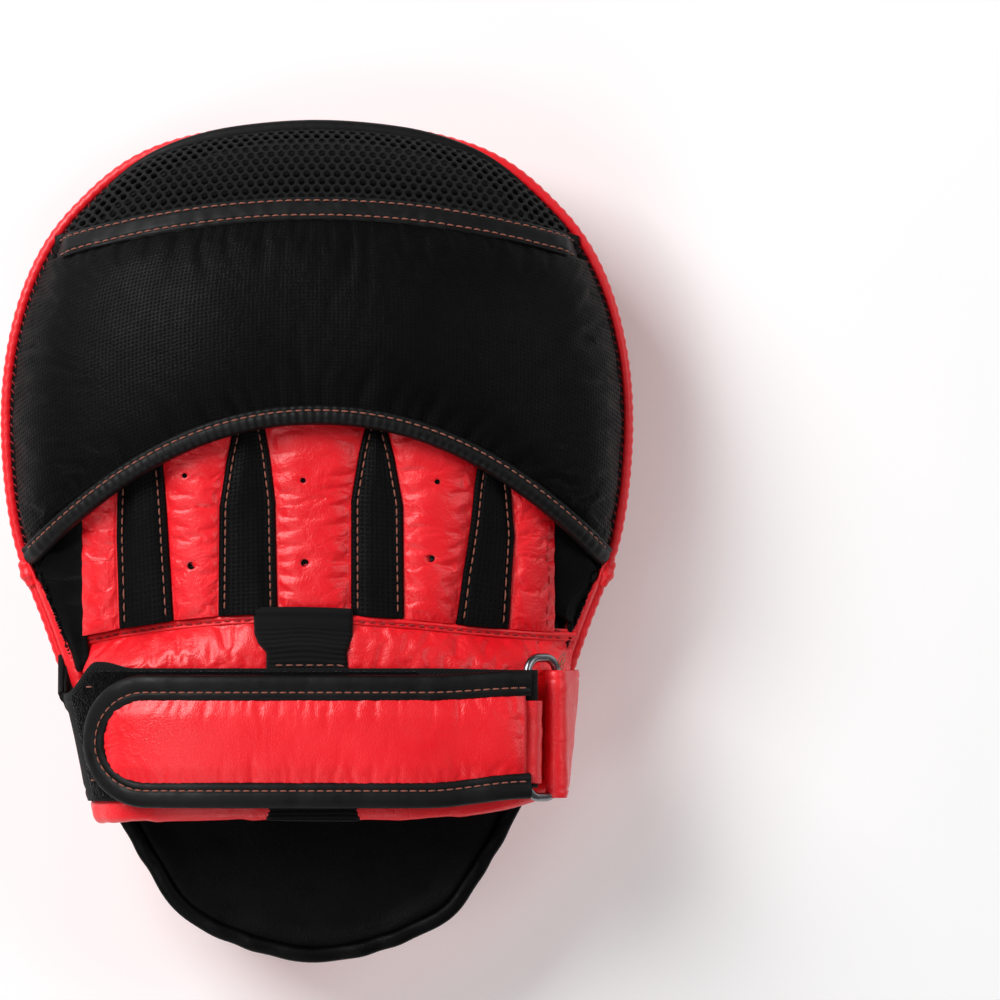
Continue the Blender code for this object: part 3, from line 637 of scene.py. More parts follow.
def black_leather(name, pitch=0.0, hole=0.0, base=0.0016):
    """Black leather; with a pitch it has rows of small punched dots."""
    g = Graph(name, specular=0.09)
    grain = g.cells(1250, "DISTANCE_TO_EDGE")
    patches = g.noise(35, 3.0)
    colour = g.colours(g.spread(patches, 0.3, 0.7), (base * 0.7,) * 3, (base * 1.3, base * 1.3, base * 1.4))
    rough = g.spread(g.noise(160, 3.0), 0.3, 0.7, 0.38, 0.5)
    bumps = [(g.noise(180, 4.0, 0.6), 0.0005, 0.35), (g.spread(grain, 0.0, 0.25), 0.0001, 0.4)]
    if pitch:
        holes = g.dots(pitch, hole, stagger=False)
        bumps.append((g.sum("SUBTRACT", 1.0, holes), 0.001, 1.0))
        rough = g.sum("ADD", rough, g.sum("MULTIPLY", holes, 0.3))
    return g.finish(colour, rough, bumps)


def pebble_leather(name):
    """The striking face: scaly pebble emboss, as on reptile-print leather."""
    g = Graph(name, specular=0.35)
    warped = g.stretched(520, 700)
    scales = g.cells(1.0, "DISTANCE_TO_EDGE", warped, 0.85)
    tops = g.cells(1.0, "F1", warped, 0.85)
    colour = g.colours(g.spread(scales, 0.0, 0.2), (0.0022, 0.0022, 0.0026), (0.007, 0.007, 0.0078))
    rough = g.spread(g.noise(60, 3.0), 0.3, 0.7, 0.36, 0.5)
    bumps = ((g.noise(45, 3.0), 0.0008, 0.25), (g.spread(scales, 0.0, 0.16), 0.00035, 0.8),
             (g.spread(tops, 0.0, 0.7, 1.0, 0.0), 0.0002, 0.35), (g.noise(2400, 2.0), 0.00004, 0.5))
    return g.finish(colour, rough, bumps)


def woven(name, base, pitch=0.0007, sheen=0.25):
    """Plain weave of fine yarns."""
    g = Graph(name, roughness=0.85, specular=0.25, sheen=sheen)
    spot = g.stretched(2 * math.pi / pitch, 2 * math.pi / pitch)
    split = g.tree.nodes.new("ShaderNodeSeparateXYZ")
    g.put(split, 0, spot)
    warp, weft = g.sum("SINE", split.outputs[0]), g.sum("SINE", split.outputs[1])
    weave = g.sum("MULTIPLY", warp, weft)
    light = tuple(c * 1.7 for c in base)
    colour = g.colours(g.spread(g.sum("ADD", weave, g.noise(900, 2.0)), -1.0, 2.0), base, light)
    return g.finish(colour, None, ((weave, 0.00018, 0.7), (g.noise(1800, 2.0), 0.00006, 0.5)))


def smooth_tape(name):
    """Matt black binding tape with a faint cross grain."""
    g = Graph(name, specular=0.22)
    ribs = g.noise(1.0, 2.0, where=g.stretched(420, 2600))
    colour = g.colours(g.noise(60, 3.0), (0.0016, 0.0016, 0.0018), (0.003, 0.003, 0.0034))
    rough = g.spread(g.noise(240, 2.0), 0.3, 0.7, 0.46, 0.62)
    return g.finish(colour, rough, ((g.noise(260, 3.0), 0.0004, 0.35), (ribs, 0.00008, 0.6)))


def pile(name):
    """Loop pile of the closure: dense short fuzz."""
    g = Graph(name, roughness=0.95, specular=0.1, sheen=0.15)
    tufts = g.cells(1500)
    colour = g.colours(g.spread(tufts, 0.1, 0.7), (0.0034, 0.0034, 0.0038), (0.001, 0.001, 0.0011))
    return g.finish(colour, None, ((g.noise(300, 4.0), 0.0006, 0.5), (tufts, 0.0004, 0.9),
                                   (g.noise(4000, 2.0), 0.0001, 0.8)))


def thread(name, colour):
    """Twisted sewing thread."""
    g = Graph(name, roughness=0.6, specular=0.35, sheen=0.3)
    twist = g.noise(1.0, 1.0, where=g.stretched(2200, 2200, 2200, g.place))
    light = tuple(min(c * 1.25, 1.0) for c in colour)
    return g.finish(g.colours(twist, colour, light), None, ((twist, 0.0001, 0.6),))


def metal(name):
    """Drawn steel wire."""
    g = Graph(name, metallic=1.0)
    drawn = g.noise(1.0, 3.0, where=g.stretched(140, 3200))
    colour = g.colours(g.noise(160, 3.0), (0.2, 0.2, 0.215), (0.34, 0.34, 0.36))
    rough = g.spread(drawn, 0.3, 0.7, 0.2, 0.34)
    return g.finish(colour, rough, ((drawn, 0.00004, 0.4), (g.noise(900, 2.0), 0.00003, 0.4)))


def foam_material(name, colour):
    """Open-pored foam."""
    g = Graph(name, roughness=0.95, specular=0.2)
    pores = g.cells(1600)
    dark = tuple(c * 0.6 for c in colour)
    return g.finish(g.colours(g.spread(pores, 0.1, 0.6), dark, colour), None, ((pores, 0.0003, 0.7),))


RED = red_leather("red_leather_smooth", 0.16)
RED_SOFT = red_leather("red_leather_creased", 0.5)
BLACK = black_leather("black_leather_plain")
HOOD = black_leather("black_leather_embossed", 0.00125, 0.00034)
PUNCHED = black_leather("black_leather_punched", 0.00135, 0.00038, 0.0026)
PEBBLE = pebble_leather("black_leather_scaled")
TAPE = smooth_tape("binding_tape")
LINING = woven("lining_cloth", (0.0022, 0.0022, 0.0025), 0.0007, 0.05)
WEBBING = woven("strap_webbing", (0.0022, 0.0022, 0.0025), 0.0013, 0.05)
NET = woven("net_yarn", (0.0024, 0.0024, 0.0027), 0.0005, 0.05)
RIBBED = woven("ribbed_elastic", (0.002, 0.002, 0.0022), 0.0009, 0.05)
PILE = pile("loop_pile")
PALE_THREAD = thread("rust_thread", (0.25, 0.074, 0.046))
RED_THREAD = thread("red_thread", (0.3, 0.004, 0.008))
STEEL = metal("ring_steel")
FOAM = foam_material("foam_grey", (0.33, 0.33, 0.35))
GEL = foam_material("gel_blue", (0.08, 0.2, 0.42))
DARK = black_leather("hole_shadow", base=0.0015)


# ---------------------------------------------------------------- laying seams on finished sheets

def tree_of(*objs):
    """A ray target of the pieces' own meshes."""
    points, faces = [], []
    for obj in objs:
        start = len(points)
        points += [v.co.copy() for v in obj.data.vertices]
        faces += [tuple(start + i for i in p.vertices) for p in obj.data.polygons]
    return BVHTree.FromPolygons(points, faces)


def laid(tree, points, normals, lift=0.0, reach=0.012):
    """The points moved along their normals onto the surface, and the normals evened out."""
    out = []
    for spot, up in zip(np.asarray(points), np.asarray(normals)):
        hit = tree.ray_cast(Vector(spot + up * reach), Vector(-up), 2 * reach)
        out.append(hit[0] if hit[0] is not None else Vector(spot))
    out = np.array(out)
    kernel = np.array([1.0, 2.0, 3.0, 2.0, 1.0]) / 9.0
    wide = np.pad(out, ((2, 2), (0, 0)), "edge")
    wide[:2] = out[0] + (out[0] - out[1]) * np.array([[2.0], [1.0]])
    wide[-2:] = out[-1] + (out[-1] - out[-2]) * np.array([[1.0], [2.0]])
    out = np.stack([np.convolve(wide[:, k], kernel, "valid") for k in range(3)], axis=1)
    return out + np.asarray(normals) * lift, np.asarray(normals)


def sewn(name, tree, height, xy, surface, slot, **how):
    """A row of stitches over a sheet, along the line xy."""
    body = how.pop("body", MITT)
    lift = how.pop("lift", 0.0)
    xy = resample(xy, max(int(np.linalg.norm(np.diff(xy, axis=0), axis=1).sum() / 0.0009), 4))
    points, normals = laid(tree, *on_surface(height, xy), lift)
    return stitches(name, points, normals, surface, slot, body, **how)


def border(shape, width=1):
    """True along the edges of a grid."""
    edge = np.zeros(shape, bool)
    edge[:width], edge[-width:], edge[:, :width], edge[:, -width:] = True, True, True, True
    return edge


def fill_out(made, sewn_down, grow, pressure, cap, bending=0.1):
    """Cloth simulation: the sheet grows and swells between its seams, moving by about cap at most."""
    mesh = made.data
    start = np.empty(len(mesh.vertices) * 3, np.float32)
    mesh.vertices.foreach_get("co", start)
    mesh.vertices.foreach_set("co", start * SIM_SCALE)
    group = made.vertex_groups.new(name="sewn")
    group.add(np.flatnonzero(sewn_down).tolist(), 1.0, "REPLACE")
    cloth = made.modifiers.new("cloth", "CLOTH")
    how = cloth.settings
    how.quality = 4
    how.mass = 0.05
    how.tension_stiffness = how.compression_stiffness = 15
    how.shear_stiffness = 5
    how.bending_stiffness = bending
    how.vertex_group_mass = "sewn"
    how.shrink_min = -grow
    how.use_pressure = True
    how.uniform_pressure_force = pressure
    how.effector_weights.gravity = 0
    cloth.collision_settings.use_collision = False
    cloth.point_cache.frame_start, cloth.point_cache.frame_end = 1, SIM_FRAMES
    for number in range(1, SIM_FRAMES + 1):
        bpy.context.scene.frame_set(number)
    moved = np.empty_like(start)
    made.evaluated_get(bpy.context.evaluated_depsgraph_get()).data.vertices.foreach_get("co", moved)
    made.modifiers.remove(cloth)
    made.vertex_groups.remove(group)
    start = start.reshape(-1, 3)
    move = moved.reshape(-1, 3) / SIM_SCALE - start
    far = np.maximum(np.linalg.norm(move, axis=1, keepdims=True), 1e-9)
    mesh.vertices.foreach_set("co", (start + move / far * np.tanh(far / cap) * cap).ravel())
    mesh.update()
    bpy.context.scene.frame_set(1)


def shell(name, height, x, y, surface, thickness=0.0015, puff=0.0, body=MITT, replaced=(), fill=None):
    """A sheet over a height field, raised by puff along its normals, thickened downwards."""
    x, y = np.broadcast_arrays(x, y)
    p = np.stack([x, y, height(x, y)], axis=2)
    p = p + normals_of(p) * np.broadcast_to(puff, x.shape)[..., None]
    made = piece(name, grid_mesh(name, p), surface, body, replaced)
    if fill:
        fill_out(made, **fill)
    return thicken(made, thickness)


def cloth(obj, width, held, rests_on, covered=1.0):
    """Does nothing: the sheet, the width it was cut to, how it is held, what it rests on and the share it
    covers are not used.
    """


def bow(obj):
    """Moves a finished piece of the glove or cuff with the bowed seam and the rising hem."""
    spots = np.empty(len(obj.data.vertices) * 3)
    obj.data.vertices.foreach_get("co", spots)
    spots = spots.reshape(-1, 3)
    x, y = spots[:, 0], spots[:, 1]
    seam, hem = (np.polyval(np.polyfit(*np.transpose(line), 4), np.clip(x, line[0][0], line[-1][0]))
                 for line in (SEAM_BOW, HEM_RISE))
    seam = seam * smooth((y + 0.045) / 0.014) * smooth((-0.009 - y) / 0.011)
    hem = hem * smooth((-0.055 - y) / 0.022)
    spots[:, 1] = y + seam + hem
    obj.data.vertices.foreach_set("co", spots.ravel())
    obj.data.update()


def spine(loop):
    """The middle line that the loops of a flat panel close up on."""
    return np.stack([loop[:, 0] * 0.0, np.clip(loop[:, 1], *SPINE_Y)], axis=1)


def loops_mesh(name, loops):
    """Closed loops joined in order; the last ones close up on the middle line."""
    mesh = grid_mesh(name, np.stack(loops), closed=True)
    bm = bmesh.new()
    bm.from_mesh(mesh)
    bmesh.ops.remove_doubles(bm, verts=bm.verts, dist=2e-5)
    bm.to_mesh(mesh)
    bm.free()
    mesh.shade_smooth()
    return mesh


def round_tube(radius, sides=14):
    """A round profile."""
    turn = turns(sides)
    return np.stack([np.cos(turn), np.sin(turn)], axis=1) * radius


def rim_frames(inset, z, count):
    """Points along the inset rim at height z, with directions outwards and up."""
    loop = resample(rim_loop(inset), count, closed=True)
    along = unit(np.roll(loop, -1, 0) - np.roll(loop, 1, 0))
    centre = np.column_stack([loop, np.full(count, 0.0) + z])
    outward = np.stack([-along[:, 1], along[:, 0], np.zeros(count)], axis=1)
    return centre, outward, ups(count)


# ---------------------------------------------------------------- paddle

def face_cover():
    edge = np.array([(0.0068, 0.0082), (0.007, 0.0066), (0.0076, 0.0047), (0.0084, 0.0033), (0.0095, 0.0021),
                     (0.011, 0.0012), (0.0128, 0.0005), (0.0153, 0.0001), (0.018, 0.0)])
    edge = resample(edge, 26)
    turn = np.arange(RIM_COUNT) / RIM_COUNT
    pucker = 0.00022 * np.sin(turn * 2 * np.pi * 74 + 2.0 * np.sin(turn * 40)) ** 3
    loops = []
    for k, (inset, z) in enumerate(edge):
        pull = pucker * math.sin(math.pi * min(k / 18, 1.0))
        loops.append(np.column_stack([rim_loop(inset), z - pull]))
    flat = rim_loop(edge[-1][0])
    for share in np.linspace(0.0, 1.0, 46)[1:]:
        xy = mix(flat, spine(flat), share)
        uneven = 0.00018 * wobble(xy[:, 0], xy[:, 1], 0.024, 3)
        loops.append(np.column_stack([xy, -(0.0006 * smooth(share * 2.2) + uneven * smooth(share * 3))]))
    cover = piece("face_cover_leather", loops_mesh("face_cover_leather", loops), PEBBLE,
                  MITT, ["strike_face_cover"])
    thicken(cover, 0.0015)


def pipings():
    for name, inset, z, radius, node in (("front_seam_piping", 0.0064, 0.0096, 0.0016, "front_piping"),
                                         ("rear_seam_piping", 0.001, 0.0388, 0.0017, "rear_piping")):
        centre, outward, up = rim_frames(inset, z, RIM_SAMPLES)
        turn = np.arange(RIM_SAMPLES) / RIM_SAMPLES
        centre = centre + outward * (0.00012 * np.sin(turn * 2 * np.pi * 210))[:, None]
        swept(name, centre, outward, up, round_tube(radius), RED, MITT, [node], closed=True)
    spots, outward, up = rim_frames(0.007, 0.0064, 1400)
    away = -up * 0.25 + outward * 0.97
    stitches("front_seam_stitches", spots + away * 0.0002, away, RED_THREAD, "red_leather", pitch=0.003,
             slant=0.5)
    spots, outward, up = rim_frames(0.0028, 0.0406, 1400)
    away = up * 0.9 - outward * 0.43
    shown = np.roll(np.arange(1400), 700)
    shown = shown[spots[shown, 1] > -0.052]
    stitches("rear_seam_stitches", spots[shown] + away[shown] * 0.0004, away[shown], RED_THREAD,
             "red_leather", pitch=0.0026, slant=0.7)


def gusset():
    wall = np.array([(0.0068, 0.0108), (0.0055, 0.016), (0.0031, 0.024), (0.0017, 0.031), (0.0006, 0.0362),
                     (0.0009, 0.0374)])
    wall = resample(wall, 32)[::-1]
    low_half = smooth((-RIM[:, 1] - 0.01) / 0.07)
    girth = np.arange(RIM_COUNT) * np.linalg.norm(np.diff(RIM, axis=0), axis=1).mean()
    loops = []
    for inset, z in wall:
        high = (z - 0.0108) / (0.0374 - 0.0108)
        puff = 0.0013 * math.sin(math.pi * min(max(high, 0.0), 1.0)) ** 0.7
        gather = 0.0012 * low_half * smooth((high - 0.45) / 0.5) * np.sin(girth / 0.018 * 2 * np.pi)
        fine = 0.00045 * wobble(girth, np.full_like(girth, z * 0.35), 0.0042, 11) * (0.35 + 0.65 * low_half)
        crease = creases(girth * 0.7, np.full_like(girth, z * 0.5), 0.016, 21) * math.sin(math.pi * high)
        out = puff + gather * math.sin(math.pi * min(high * 1.05, 1.0)) + fine - 0.0006 * crease + 0.0003
        loops.append(np.column_stack([rim_loop(inset) + RIM_IN * -out[:, None], np.full(RIM_COUNT, z)]))
    mesh = grid_mesh("gusset_leather", np.stack(loops), closed=True)
    made = piece("gusset_leather", mesh, RED_SOFT, MITT, ["side_gusset"])
    held = np.zeros((len(loops), RIM_COUNT), bool)
    held[:2], held[-2:] = True, True
    fill_out(made, held, 0.04, 2, 0.0012, 0.05)
    thicken(made, 0.0014)


def back_panel():
    loops = []
    # the edge turns under along the rim
    for inset, z in ((0.004, 0.0396), (0.0026, 0.0398), (0.0022, 0.0404), (0.0026, 0.0411), (0.004, 0.0414)):
        loops.append(np.column_stack([rim_loop(inset), np.full(RIM_COUNT, z)]))
    flat, middle = rim_loop(0.004), spine(rim_loop(0.0022))
    for share in np.linspace(0.0, 1.0, 40)[1:]:
        xy = mix(flat, middle, share)
        uneven = 0.00025 * wobble(xy[:, 0], xy[:, 1], 0.012, 5)
        loops.append(np.column_stack([xy, 0.0414 - 0.0006 * smooth(share * 6) + uneven]))
    mesh = loops_mesh("back_panel_leather", loops)
    mesh.flip_normals()
    back = thicken(piece("back_panel_leather", mesh, BLACK, MITT, ["back_panel"]), 0.0011)
    cloth(back, 0.189, "stretched", ["backing_foam"])

    # the tongue's gathered edge below the strap, turned over the rear piping
    centre, outward, up = rim_frames(0.001, 0.0418, RIM_SAMPLES)
    keep = np.where(centre[:, 1] < -0.058)[0]
    share = np.linspace(0.0, 1.0, len(keep))
    taper = np.minimum(smooth(share / 0.06), smooth((1.0 - share) / 0.06))
    bump = 0.5 + 0.5 * np.sin(share * 2 * np.pi * 14 + 1.2 * np.sin(share * 31))
    line = centre[keep] + up[keep] * (0.0005 * bump[:, None] - 0.001 * (1.0 - taper[:, None]))
    line = line + outward[keep] * (0.0003 * bump * taper)[:, None]
    swept("tongue_edge", line, outward[keep], up[keep], rounded(0.0023, 0.0017, 14, 2.4), BLACK)


def eyelets():
    for number, (side, y) in enumerate(EYELETS, 1):
        wall_x, ahead = float(rim_x(y, 0.0031)), float(rim_x(y + 0.002, 0.0031))
        along = Vector((side * (ahead - wall_x), 0.002, 0.0)).normalized()
        outward = Vector((side * along.y, -side * along.x, 0.0))
        lean = math.radians(13)
        facing = (outward * math.cos(lean) - Vector((0, 0, math.sin(lean)))).normalized()
        upward = facing.cross(along).normalized()
        centre = Vector((side * wall_x, y, 0.024)) + facing * 0.0016
        turn = turns(48)
        spokes = np.outer(np.cos(turn), along) + np.outer(np.sin(turn), upward)
        up = np.tile(np.array(facing), (48, 1))
        # the flange's section: flat outside, rolled over into the hole
        section = ((0.0034, -0.0009), (0.0037, -0.0004), (0.0035, 0.0002), (0.0029, 0.0006),
                   (0.0022, 0.0007), (0.0017, 0.0004), (0.0015, -0.0003), (0.0016, -0.0022),
                   (0.0019, -0.0022), (0.002, -0.0009))
        swept(f"eyelet_{number}", np.tile(np.array(centre), (48, 1)), spokes, up, section, STEEL,
              MITT, [f"vent_eyelet_{number}"], closed=True)
        disc = [np.array(centre) + spokes * radius + up * depth
                for radius, depth in ((0.0019, -0.0016), (0.001, -0.0017), (0.0001, -0.0018))]
        hole = grid_mesh(f"eyelet_hole_{number}", np.stack(disc), closed=True)
        thicken(piece(hole.name, hole, DARK), 0.0004)


# ---------------------------------------------------------------- hood

def bent(centre_y, side_x, side_y, power, share):
    """A line bowed from its middle down to the sides; share runs from -1 to 1 across it."""
    return side_x * share, centre_y - (centre_y - side_y) * np.abs(share) ** power


def band_end(share):
    """Where the band's line meets the crown's rim."""
    xs = np.linspace(0.05, 0.0898, 2000)
    return xs[np.argmax(band_y(xs, share) >= rim_y(xs))]


def net(top_x):
    """Open net over the crescent: hexagons of yarn with a hole in each, laid on the hood's height field."""
    last = 240
    xs = np.linspace(-top_x, top_x, last + 1)
    low, high = band_y(xs, 0.5), np.maximum(rim_y(xs) + 0.0004, band_y(xs, 0.5) + 0.0002)
    steps = 1.0 - (1.0 - np.linspace(0, 1, 90)) ** 2.2
    ys = mix(low[None], high[None], steps[:, None])
    over = 0.0006 * smooth((0.068 - np.abs(xs[None])) / 0.04)
    spread_y = ys + over * (ys - low[None]) / np.maximum(high - low, 1e-4)[None]
    table = np.stack([np.broadcast_to(xs, ys.shape), spread_y, hood_z(xs[None], ys)], axis=2)
    climb = np.cumsum(np.linalg.norm(np.diff(table, axis=0, prepend=table[:1]), axis=2), axis=0)
    verts, faces = [], []
    corners = 18
    turn = turns(corners) + np.pi / 2

    def place(u, v):
        column = np.clip((u + top_x) / (2 * top_x) * last, 0, last)
        k = int(min(column, last - 1))
        share = column - k
        here, beside = (np.array([np.interp(v, climb[:, n], table[:, n, axis]) for axis in range(3)])
                        for n in (k, k + 1))
        return mix(here, beside, share)

    hexagon = 1.0 / np.cos((turn + np.pi / 6) % (np.pi / 3) - np.pi / 6) * (NET_PITCH / 2)
    for row in range(14):
        for column in range(-32, 33):
            u = (column + 0.5 * (row % 2)) * NET_PITCH
            v = 0.0012 + row * NET_PITCH * 0.866
            k = int(np.clip((u + top_x) / (2 * top_x) * last, 0, last))
            if abs(u) > top_x - 0.001 or v > climb[-1, k] + 0.0012:
                continue
            start = len(verts)
            for radius, squeeze in ((hexagon, 1.0), (np.full(corners, NET_HOLE), 1.18)):
                for r, t in zip(radius, turn):
                    verts.append(place(u + r * math.cos(t), max(v + r * math.sin(t) * squeeze, 0.0)))
            for s in range(corners):
                n = (s + 1) % corners
                faces.append((start + s, start + n, start + corners + n, start + corners + s))
    mesh = bpy.data.meshes.new("hood_net")
    mesh.from_pydata([tuple(v) for v in verts], [], faces)
    mesh.uv_layers.new(name="UVMap")
    flat = np.array([mesh.vertices[i].co[:2] for loop in mesh.polygons for i in loop.vertices], np.float32)
    mesh.uv_layers[0].data.foreach_set("uv", flat.ravel())
    bm = bmesh.new()
    bm.from_mesh(mesh)
    bmesh.ops.remove_doubles(bm, verts=bm.verts, dist=8e-5)
    bmesh.ops.recalc_face_normals(bm, faces=bm.faces)
    bm.to_mesh(mesh)
    bm.free()
    mesh.shade_smooth()
    if np.mean([p.normal.z for p in mesh.polygons]) < 0:
        mesh.flip_normals()
    made = thicken(piece("hood_net", mesh, NET, MITT, ["hood_mesh"]), 0.0009, -0.2)
    soften(made)
    cloth(made, 0.034, "stretched", ["hood_padding"], 1 - math.pi * NET_HOLE**2 / (NET_PITCH**2 * 0.866))


def crown_tape():
    """Black edge tape that hides the red piping along the crown."""
    centre, outward, up = rim_frames(0.0004, 0.041, RIM_SAMPLES)
    order = np.roll(np.arange(RIM_SAMPLES), 720)
    keep = order[(np.abs(centre[order, 0]) < 0.074) & (centre[order, 1] > 0.0)]
    share = np.linspace(0, 1, len(keep))
    taper = np.minimum(smooth(share / 0.34), smooth((1 - share) / 0.34))[:, None]
    line = centre[keep] + outward[keep] * (0.0016 * taper - 0.003) - up[keep] * (0.0004 * (1 - taper))
    size = 0.3 + 0.7 * taper
    swept("crown_edge_tape", line, outward[keep] * size, up[keep] * size, rounded(0.0026, 0.0019, 20, 2.2),
          TAPE)


def hood_lining():
    """Lining seen through the net and at the edges."""
    share = easing_out(np.linspace(-1, 1, 161))[None]
    rise = upwards(60)
    side_y = mix(0.0, 0.09, rise)
    x, y = bent(mix(ARCH_TOP_Y + 0.0045, 0.124, rise), rim_x(side_y) - 0.003, side_y,
                mix(ARCH_POWER, 2.35, rise), share)
    lining = shell("hood_lining", hood_z, x, y, LINING, 0.0036,
                   -0.0021 + 0.0003 * wobble(x, y, 0.02, 9), replaced=["hood_padding"])


def hood_band():
    """Smooth tape over the seam between net and leather, with two rows of stitches."""
    end = band_end(0.5) - 0.0003
    xs = easing_out(np.linspace(-1, 1, 401))[None] * end
    shares = np.linspace(-0.12, 1.12, 26)[:, None]
    roll = 0.0011 * (1.0 - np.abs(2 * shares - 1.0) ** 4 * 0.62)
    dimple = -0.00035 * (bell(shares, 0.17, 0.05) + bell(shares, 0.83, 0.05))
    gather = 0.00018 * wobble(xs, shares * 0.004, 0.0026, 4)
    tuck = smooth((end - np.abs(xs)) / 0.005)
    band = shell("hood_band_tape", hood_z, xs, band_y(xs, shares), TAPE, 0.0017,
                 (roll + dimple + gather) * tuck - 0.001 * (1 - tuck), replaced=["hood_band"])
    tree = tree_of(band)
    line = np.linspace(-end * 0.985, end * 0.985, 400)
    for number, at in enumerate((0.17, 0.83), 1):
        sewn(f"band_stitches_{number}", tree, hood_z, np.stack([line, band_y(line, at)], 1), PALE_THREAD,
             "red_leather", lift=0.0002)


def hood_top(top_x):
    """The hood's leather, from the arch up to the band."""
    share = easing_out(np.linspace(-1, 1, 201))[None]
    rise = upwards(120)
    side_y = mix(CORNER_Y, float(band_y(top_x, 0.0)), rise)
    centre_y = mix(ARCH_TOP_Y + 0.002, BAND_LOW_Y + 0.0012, rise)
    side_x = np.where(rise < 1, rim_x(side_y) - 0.0002, top_x)
    x, y = bent(centre_y, side_x, side_y, mix(ARCH_POWER, 2.0, rise), share)
    ends = np.minimum(smooth(rise / 0.05), smooth((1 - rise) / 0.05))
    puff = 0.001 * ends + 0.00055 * wobble(x, y, 0.03, 31) * ends
    near_seam = 1 - smooth(np.minimum(rise, 1 - rise) / 0.28)
    puff = puff + 0.00022 * wobble(x, y * 0.6, 0.0065, 32) * near_seam * ends
    rim = smooth(rim_distance(x, y) / 0.01)
    puff = puff * rim + 0.0004 * wobble(x * 0.3, y, 0.005, 33) * (1 - rim)
    top = shell("hood_top_leather", hood_z, x, y, HOOD, 0.0014, puff,
                replaced=["hood_leather"],
                fill={"sewn_down": border(x.shape, 2), "grow": 0.02, "pressure": 2, "cap": 0.003})
    soften(top)


def arch_binding():
    """Rolled binding along the arch."""
    middle_y, side_y = ARCH_TOP_Y + BINDING_WIDTH / 2, CORNER_Y - BINDING_WIDTH / 2
    share = easing_out(np.linspace(-1, 1, 480))
    x, y = bent(middle_y, float(rim_x(side_y)) + 0.0006, side_y, ARCH_POWER, share)
    spots, up = on_surface(hood_z, resample(np.stack([x, y], 1), 520))
    up[:, 2] = np.maximum(up[:, 2], 0.25)
    across, up = frames(spots, unit(up))
    profile = ((-0.0031, -0.0012), (-0.0029, 0.0006), (-0.0021, 0.0016), (-0.0008, 0.002),
               (0.0006, 0.0019), (0.0013, 0.0014), (0.002, 0.0016), (0.0028, 0.0011), (0.0031, 0.0002),
               (0.003, -0.0012), (0.0018, -0.0021), (0.0, -0.0022), (-0.002, -0.0021))
    profile = resample(catmull(profile, 3), 40, closed=True)
    # stitches pull the roll in slightly
    beat = 0.0001 * np.sin(turns(520) * 80)
    made = swept("arch_binding", spots + up * beat[:, None], across, up, profile, TAPE, MITT,
                 ["hood_binding"])
    side = 1.0 if np.dot(across[260], (0, 1, 0)) > 0 else -1.0
    line = spots + across * (side * 0.0013) + up * 0.0019
    points, normals = laid(tree_of(made), line, up, 0.0001, 0.003)
    stitches("arch_stitches", points[6:-6], normals[6:-6], PALE_THREAD, "red_leather")


def hood():
    top_x = band_end(1.0)
    net(top_x)
    crown_tape()
    hood_lining()
    hood_band()
    hood_top(top_x)
    arch_binding()


# ---------------------------------------------------------------- glove

def seam_x(seam, share):
    """A strip seam at a share of its height: start, shoulder and end."""
    return np.interp(share, (0.0, SHOULDER_SHARE * 0.6, SHOULDER_SHARE, 0.78, 1.0),
                     (seam[0], mix(seam[0], seam[1], 0.65), seam[1], mix(seam[1], seam[2], 0.42), seam[2]))


def glove_grid(left, right, rows, cols, spill=(0.0, 0.0)):
    """Shares and places over a panel between two seams, up under the hood's arch."""
    share = upwards(rows)
    across = sideways(cols)
    x = mix(seam_x(left, share) - spill[0], seam_x(right, share) + spill[1], across)
    y = mix(GLOVE_LOW_Y - 0.0006, arch_y(x) + TUCK * 0.8, share)
    return share + 0 * across, across + 0 * share, x, y


VENTS = ((-0.038, -0.0078, 1.0), (-0.0037, -0.007, 1.0), (0.0342, -0.0055, 1.0),
         (-0.04, 0.0196, 0.6), (-0.0043, 0.0181, 0.6), (0.0363, 0.0177, 0.6))


def vent_dip(x, y):
    """How far the leather sinks round the punched vents."""
    dip = 0.0 * x
    for vent_x, vent_y, size in VENTS:
        far = np.hypot(x - vent_x, y - vent_y)
        dip = dip + 0.0011 * size * bell(far, 0.0, 0.0011 * size) + 0.0004 * size * bell(far, 0.0, 0.0035)
    return dip


def red_puff(x, y, share, across, seed):
    """How a red panel swells, folds and puckers at its seams."""
    crown = 0.0007 * (1 - (2 * across - 1) ** 4)
    ends = smooth(share / 0.1) * smooth((1.04 - share) / 0.12)
    folds = 0.0009 * (creases(x * 0.8, y * 1.15, 0.017, seed) - 0.45)
    small = 0.0002 * wobble(x * 0.9, y * 1.5, 0.0045, seed + 5)
    near_seam = np.abs(2 * across - 1) ** 1.5
    pucker = 0.0002 * np.sin(y / 0.0052 * 2 * np.pi + 3 * wobble(x, y, 0.02, seed + 7)) * near_seam
    return (crown + (folds * 0.8 + small + pucker) * ends) - vent_dip(x, y)


